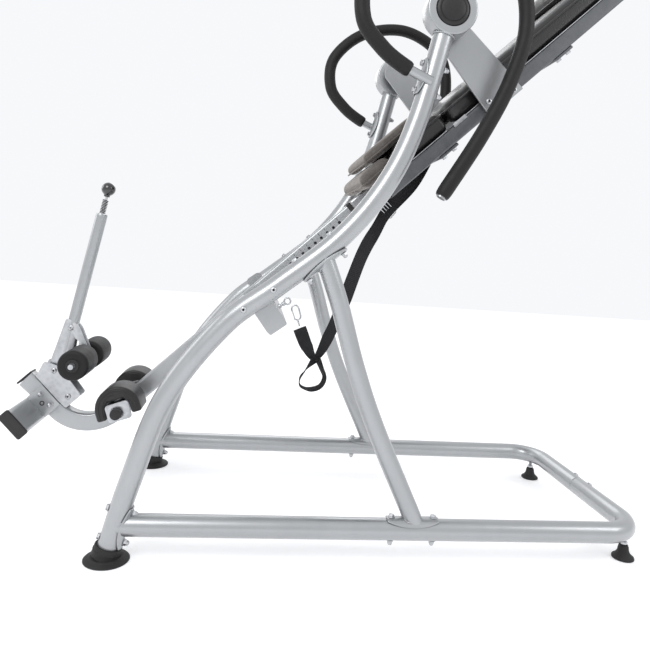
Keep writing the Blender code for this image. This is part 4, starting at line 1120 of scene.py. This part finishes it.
# ---- foot rest ----
# An oval steel bar across the foot end, capped in black, welded in a U bracket that is bolted on the boom.
REST_S, REST_T = BOOM_END_S - BOOM_DEPTH / 2 - 0.0200, -0.085
across_bed = Matrix.Rotation(pi / 2, 4, "Z")
bar = square_tube("rest_bar", 0.300, 0.028, 0.074, 0.0138, 0.0022, (REST_S, 0, REST_T), across_bed)
rest_face = BOOM_END_S - BOOM_DEPTH / 2
cheeks = [rounded_box("rest_cheek", (0.052, 0.0040, 0.072), (rest_face + 0.0185,
                                                             sign * (BOOM_WIDTH / 2 + 0.0030),
                                                             REST_T), (1, 0, 0), (0, 0, 1), 0.0012, 3)
          for sign in (-1, 1)]
web = rounded_box("rest_web", (0.0040, 0.0440, 0.072), (rest_face - 0.0042, 0, REST_T), (1, 0, 0), (0, 0, 1),
                  0.0010, 2)
fit(to_bed(joined("foot_rest_bar", [bar, web] + cheeks)), silver, "boom", "silver_paint", "foot_rest")
end_cap = to_bed(rounded_box("end_cap", (0.0768, 0.0308, 0.0120), (REST_S, -0.1563, REST_T), (0, 0, 1),
                             (0, -1, 0),
                             0.0055, 5, inset_top))
fit_pair(end_cap, "{}_rest_end_cap", plastic, "boom", "black_plastic", "{}_foot_rest_cap")
rest_spots = [(on_bed(rest_face + 0.026, sign * (BOOM_WIDTH / 2 + 0.0048), REST_T + step), (0, sign, 0))
              for sign in (-1, 1) for step in (-0.018, 0.020)]
fasten("foot_rest_fasteners", "boom", (acorn_nut, rest_spots[:2]), (button_bolt, rest_spots[2:]))
bush = turned("bush", [(0.0062, -0.001), (0.0066, 0.0004), (0.0058, 0.0009), (0.0040, 0.0009),
                       (0.0036, -0.001)],
              on_bed(rest_face + 0.012, -(BOOM_WIDTH / 2 + 0.0049), REST_T - 0.002), (0, -1, 0), 32)
fit_pair(bush, "{}_rest_bush", plastic, "boom", "black_plastic")

# ---- heel holders ----
# Two moulded arches stand over a plated cross bar behind the ankles and rock a little on it; each has
# raised rims and hangs on a square steel plate and web in its mouth, and the bar's ends are capped.
bar_points = [Vector((HEEL_S, y, HEEL_T)) for y in (-0.155, -0.10, 0.0, 0.10, 0.155)]
fit(to_bed(bent_rod("heel_cross_bar", bar_points, 0.0125, round_steps=14)), zinc, "boom", "zinc_plate",
    "heel_bar")
bar_cap = to_bed(turned("bar_cap", [(0.0132, -0.010), (0.0140, -0.009), (0.0140, 0.0010), (0.0130, 0.0024),
                                    (0.0100, 0.0032), (0.0010, 0.0036)], (HEEL_S, -0.155, HEEL_T),
                        (0, -1, 0), 40))
fit_pair(bar_cap, "{}_heel_bar_cap", plastic, "boom", "black_plastic")
cup_turn = Matrix.Translation(on_bed(HEEL_S, 0, HEEL_T)) @ Matrix.Rotation(radians(-19.5), 4, "Y")


def cut_plate(name, outline, thickness, corner, steps=3, y=0.0, turn=None, holes=()):
    """A plate cut to an (a, b) outline, standing across Y, with rounded edges and cut-outs."""
    def blank(points, depth):
        put_down()
        bpy.ops.mesh.primitive_circle_add(vertices=len(points), fill_type="NGON")
        sheet = bpy.context.object
        for vert, (a, b) in zip(sheet.data.vertices, points):
            vert.co = (a, y + depth / 2, b)
        bpy.ops.object.mode_set(mode="EDIT")
        bpy.ops.mesh.select_all(action="SELECT")
        bpy.ops.mesh.extrude_region_move(TRANSFORM_OT_translate={"value": (0, -depth, 0)})
        bpy.ops.object.mode_set(mode="OBJECT")
        return faced_out(sheet)
    piece = blank(outline, thickness)
    for hole in holes:
        punch = blank(hole, thickness * 3)
        applied(piece, "BOOLEAN", operation="DIFFERENCE", object=punch, solver="EXACT")
        pick_up(punch)
        bpy.ops.object.delete()
    applied(piece, "BEVEL", width=corner, segments=steps, limit_method="ANGLE", angle_limit=radians(48))
    if turn:
        moved(piece, turn)
    piece.name = piece.data.name = name
    return smoothed(piece, 40)


def arch(reach, foot):
    """A half round over the cup's middle, (0.0060, 0.0105), with straight legs down to foot."""
    turns = [pi * (1 - step / 40) for step in range(41)]
    return [(0.0060 - reach, foot)] + [(0.0060 + reach * cos(a), 0.0105 + reach * sin(a)) for a in turns] + [
        (0.0060 + reach, foot)]


CUP_Y, CUP_WIDTH = -0.103, 0.085
cup_outline = arch(0.0570, -0.0105) + [(0.0375, -0.0105), (0.0355, 0.0242), (0.0252, 0.0335),
                                       (-0.0132, 0.0335),
                                       (-0.0232, 0.0242), (-0.0252, -0.0105)]
cup = cut_plate("cup", cup_outline, CUP_WIDTH, 0.0065, 4, CUP_Y, cup_turn)
rims = [bent_rod("rim", [cup_turn @ Vector((a, y, b)) for a, b in arch(reach, -0.0040)], 0.0019,
                 round_steps=4)
        for y, reach in ((-0.0612, 0.0475), (-0.1448, 0.0475), (-0.1448, 0.0385))]
fit_pair(joined("cup", [cup] + rims), "{}_heel_arch", plastic, "{}_heel", "black_plastic", "{}_heel_cup")
bar_hole = [(0.0133 * cos(2 * pi * step / 32), 0.0133 * sin(2 * pi * step / 32)) for step in range(32)]
square = [(a + 0.0060, b + 0.0030) for a, b in rounded_loop(0.0300, 0.0230, 0.0080, 5)]
saddle_plate = cut_plate("cup_saddle", square, 0.0030, 0.0006, 2, -0.1425, cup_turn, (bar_hole,))
web = cut_plate("cup_web", [(-0.0170, 0.0235), (0.0290, 0.0235), (0.0290, 0.0262), (-0.0170, 0.0262)], 0.076,
                0.0006,
                2, CUP_Y, cup_turn)
saddle_plate = joined("cup_saddle", [saddle_plate, web])
fit_pair(saddle_plate, "{}_heel_saddle", zinc, "{}_heel", "zinc_plate")

# ---- ankle bracket and lever ----
# A plated bracket on the boom's turned-up end carries the lever: a silver tube between two pressed plates
# with cut-outs, which also hold the front rollers. Pulling the tube back opens the clamp.
paint_nodes(zinc, "ankle_bracket")
bracket_face = BOOM_END_S + BOOM_DEPTH / 2 + 0.0003
LEVER_S, LEVER_T = -1.378, -0.067
ROLLER_S, ROLLER_T = -1.282, -0.0665
lever_way = Vector((0.3832, 0.0, 0.2747)).normalized()
LEVER_END = 0.4718
lever_off = Vector((-lever_way.z, 0.0, lever_way.x))


def on_lever(distance, offset=0.0):
    """A point along the lever tube from its pivot, and off to its far side."""
    spot = Vector((LEVER_S, 0.0, LEVER_T)) + lever_way * distance + lever_off * offset
    return spot.x, spot.z


def softened(corners, radius, steps=4):
    """An outline with each corner cut back and rounded."""
    outline = []
    for index, corner in enumerate(corners):
        here = Vector(corner)
        before = here + (Vector(corners[index - 1]) - here).normalized() * radius
        after = here + (Vector(corners[(index + 1) % len(corners)]) - here).normalized() * radius
        for step in range(steps + 1):
            u = step / steps
            outline.append(tuple(before * (1 - u) ** 2 + here * 2 * u * (1 - u) + after * u ** 2))
    return outline


cheek_corners = [(LEVER_S - 0.010, LEVER_T - 0.012), (ROLLER_S - 0.004, ROLLER_T - 0.018),
                 (ROLLER_S + 0.020, ROLLER_T + 0.006), on_lever(0.160, -0.020), on_lever(0.175, 0.018),
                 on_lever(0.030, 0.032)]
cutouts = (softened([on_lever(0.034, -0.010), on_lever(0.062, -0.022), on_lever(0.068, -0.004),
                     on_lever(0.040, 0.010)],
                    0.005),
           softened([on_lever(0.088, -0.032), on_lever(0.118, -0.030), on_lever(0.124, -0.018),
                     on_lever(0.094, -0.020)],
                    0.004))
cheek = to_bed(cut_plate("lever_cheek", softened(cheek_corners, 0.011), 0.0040, 0.0009, 2, -0.0130, None,
                         cutouts))
fit_pair(cheek, "{}_lever_cheek_plate", zinc, "lever", "zinc_plate")
tube_low, tube_high = on_lever(0.075), on_lever(LEVER_END - 0.0006)
tube_ends = [Vector((tube_low[0], 0, tube_low[1])), Vector((tube_high[0], 0, tube_high[1]))]
lever_points = [tube_ends[0].lerp(tube_ends[1], share) for share in (0, 0.02, 0.25, 0.5, 0.75, 0.98, 0.992,
                                                                     1.0)]
lever = to_bed(bent_rod("lever_tube", lever_points, 0.0154, round_steps=16,
                        swell=[0.96, 1, 1, 1, 1, 1, 0.99, 0.92]))
fit(lever, silver, "lever", "silver_paint", "ankle_lever")
pivot = to_bed(turned("lever_pivot_boss", [(0.0040, -0.0222), (0.0076, -0.0216), (0.0090, -0.0200),
                                           (0.0090, -0.0172),
                                           (0.0100, -0.0170), (0.0100, 0.0170), (0.0090, 0.0172),
                                           (0.0090, 0.0200),
                                           (0.0076, 0.0216), (0.0040, 0.0222)], (LEVER_S, 0, LEVER_T),
                      (0, 1, 0), 40))
fit(pivot, zinc, "lever", "zinc_plate")
fasten("ankle_fasteners", "boom", (button_bolt, [
    (on_bed(bracket_face + 0.001 + s, sign * 0.0253, t), (0, sign, 0)) for sign in (-1, 1)
    for s, t in ((0.026, -0.118), (0.044, -0.040))]))
fasten("lever_fasteners", "lever", (button_bolt, [
    (on_bed(on_lever(distance, 0)[0], sign * 0.0149, on_lever(distance, 0)[1]), (0, sign, 0))
    for sign in (-1, 1) for distance in (0.030, 0.150)]))
boom_welds = [to_bed(bent_rod("bead", [Vector((bracket_face + 0.0005, sign * 0.0204, t)) for t in
                                       [-0.112 + 0.0014 * i for i in range(62)]], 0.0020, False, 3,
                              [1.0 + 0.25 * sin(i * 2.2) for i in range(62)])) for sign in (-1, 1)]
fit(joined("ankle_bracket_welds", boom_welds), zinc, "boom", "zinc_plate")

# ---- lever knob ----
# A plated rod runs through the lever tube to its lock; a coil spring pushes back its glossy ball knob.
rod_low, rod_high = on_lever(LEVER_END - 0.110), on_lever(LEVER_END + 0.0660)
pull_rod = [Vector((rod_low[0], 0, rod_low[1])), Vector((rod_high[0], 0, rod_high[1]))]
rod = to_bed(bent_rod("knob_rod", [pull_rod[0].lerp(pull_rod[1], u / 6) for u in range(7)], 0.0040,
                      round_steps=8))
fit(rod, zinc, "plunger", "zinc_plate", "plunger_rod")
coil = []
for step in range(9 * 28 + 1):
    angle = 2 * pi * step / 28
    spot = on_lever(LEVER_END + 0.0009 + 0.0380 * step / (9 * 28), 0.0071 * cos(angle))
    coil.append(Vector((spot[0], 0.0071 * sin(angle), spot[1])))
spring = to_bed(bent_rod("knob_spring", coil, 0.0011, round_steps=3))
fit(spring, black_steel, "lever", "black_steel", "plunger_spring")
gloss = Finish("gloss_black_knob", 0.08, Coat_Weight=1.0, Coat_Roughness=0.03)
swirl = gloss.noise(30.0, 4.0)
gloss.feed(Base_Color=gloss.blend(swirl, (0.004, 0.004, 0.004), (0.010, 0.010, 0.011)),
           Roughness=0.06 + swirl * 0.08)
knob_at = on_lever(LEVER_END + 0.0700)
ball = [(0.0060, -0.0225), (0.0078, -0.0220), (0.0080, -0.0190), (0.0086, -0.0170)]
ball += [(0.0188 * cos(radians(a)), 0.0188 * sin(radians(a))) for a in range(-55, 90, 5)] + [(0.0004, 0.0188)]
knob = turned("knob", ball, (knob_at[0], 0, knob_at[1]), lever_way, 56, angle=60)
fit(to_bed(knob), gloss, "plunger", "gloss_knob", "ball_knob")

# ---- front rollers ----
# Two foam rollers with rounded ends turn on a plated axle; a moulded hub and a button bolt close each end.
axle = to_bed(turned("axle", [(0.0064, -0.1490), (0.0070, -0.1480), (0.0070, 0.1480), (0.0064, 0.1490)],
                     (ROLLER_S, 0, ROLLER_T), (0, 1, 0), 28))
fit(axle, zinc, "lever", "zinc_plate", "roller_axle")
fasten("axle_bolts", "lever", (button_bolt, [(on_bed(ROLLER_S, sign * 0.1340, ROLLER_T), (0, sign, 0))
                                          for sign in (-1, 1)]))
roller = to_bed(turned("roller", [(0.0090, -0.0246), (0.0290, -0.0244), (0.0345, -0.0252), (0.0376, -0.0280),
                                  (0.0390, -0.0330), (0.0393, -0.0800), (0.0391, -0.1210), (0.0388, -0.1262),
                                  (0.0370, -0.1302), (0.0338, -0.1324), (0.0290, -0.1330), (0.0200, -0.1322),
                                  (0.0090, -0.1310)], (ROLLER_S, 0, ROLLER_T), (0, 1, 0), 72))
fit_pair(roller, "{}_foam_roller", foam, "{}_roller", "black_foam", "{}_front_roller")
hub_disc = to_bed(turned("hub_disc", [(0.0160, 0.1290), (0.0165, 0.1326), (0.0158, 0.1336), (0.0130, 0.1340),
                                      (0.0120, 0.1332), (0.0095, 0.1334), (0.0080, 0.1336)],
                         (ROLLER_S, 0, ROLLER_T), (0, -1, 0), 48))
fit_pair(hub_disc, "{}_roller_hub", plastic, "{}_roller", "black_plastic")

# ---- finishing up ----
# The first bolt, nut and button bolt, which the others were copied from, are put away.
pick_up(hex_bolt, acorn_nut, button_bolt)
bpy.ops.object.delete()
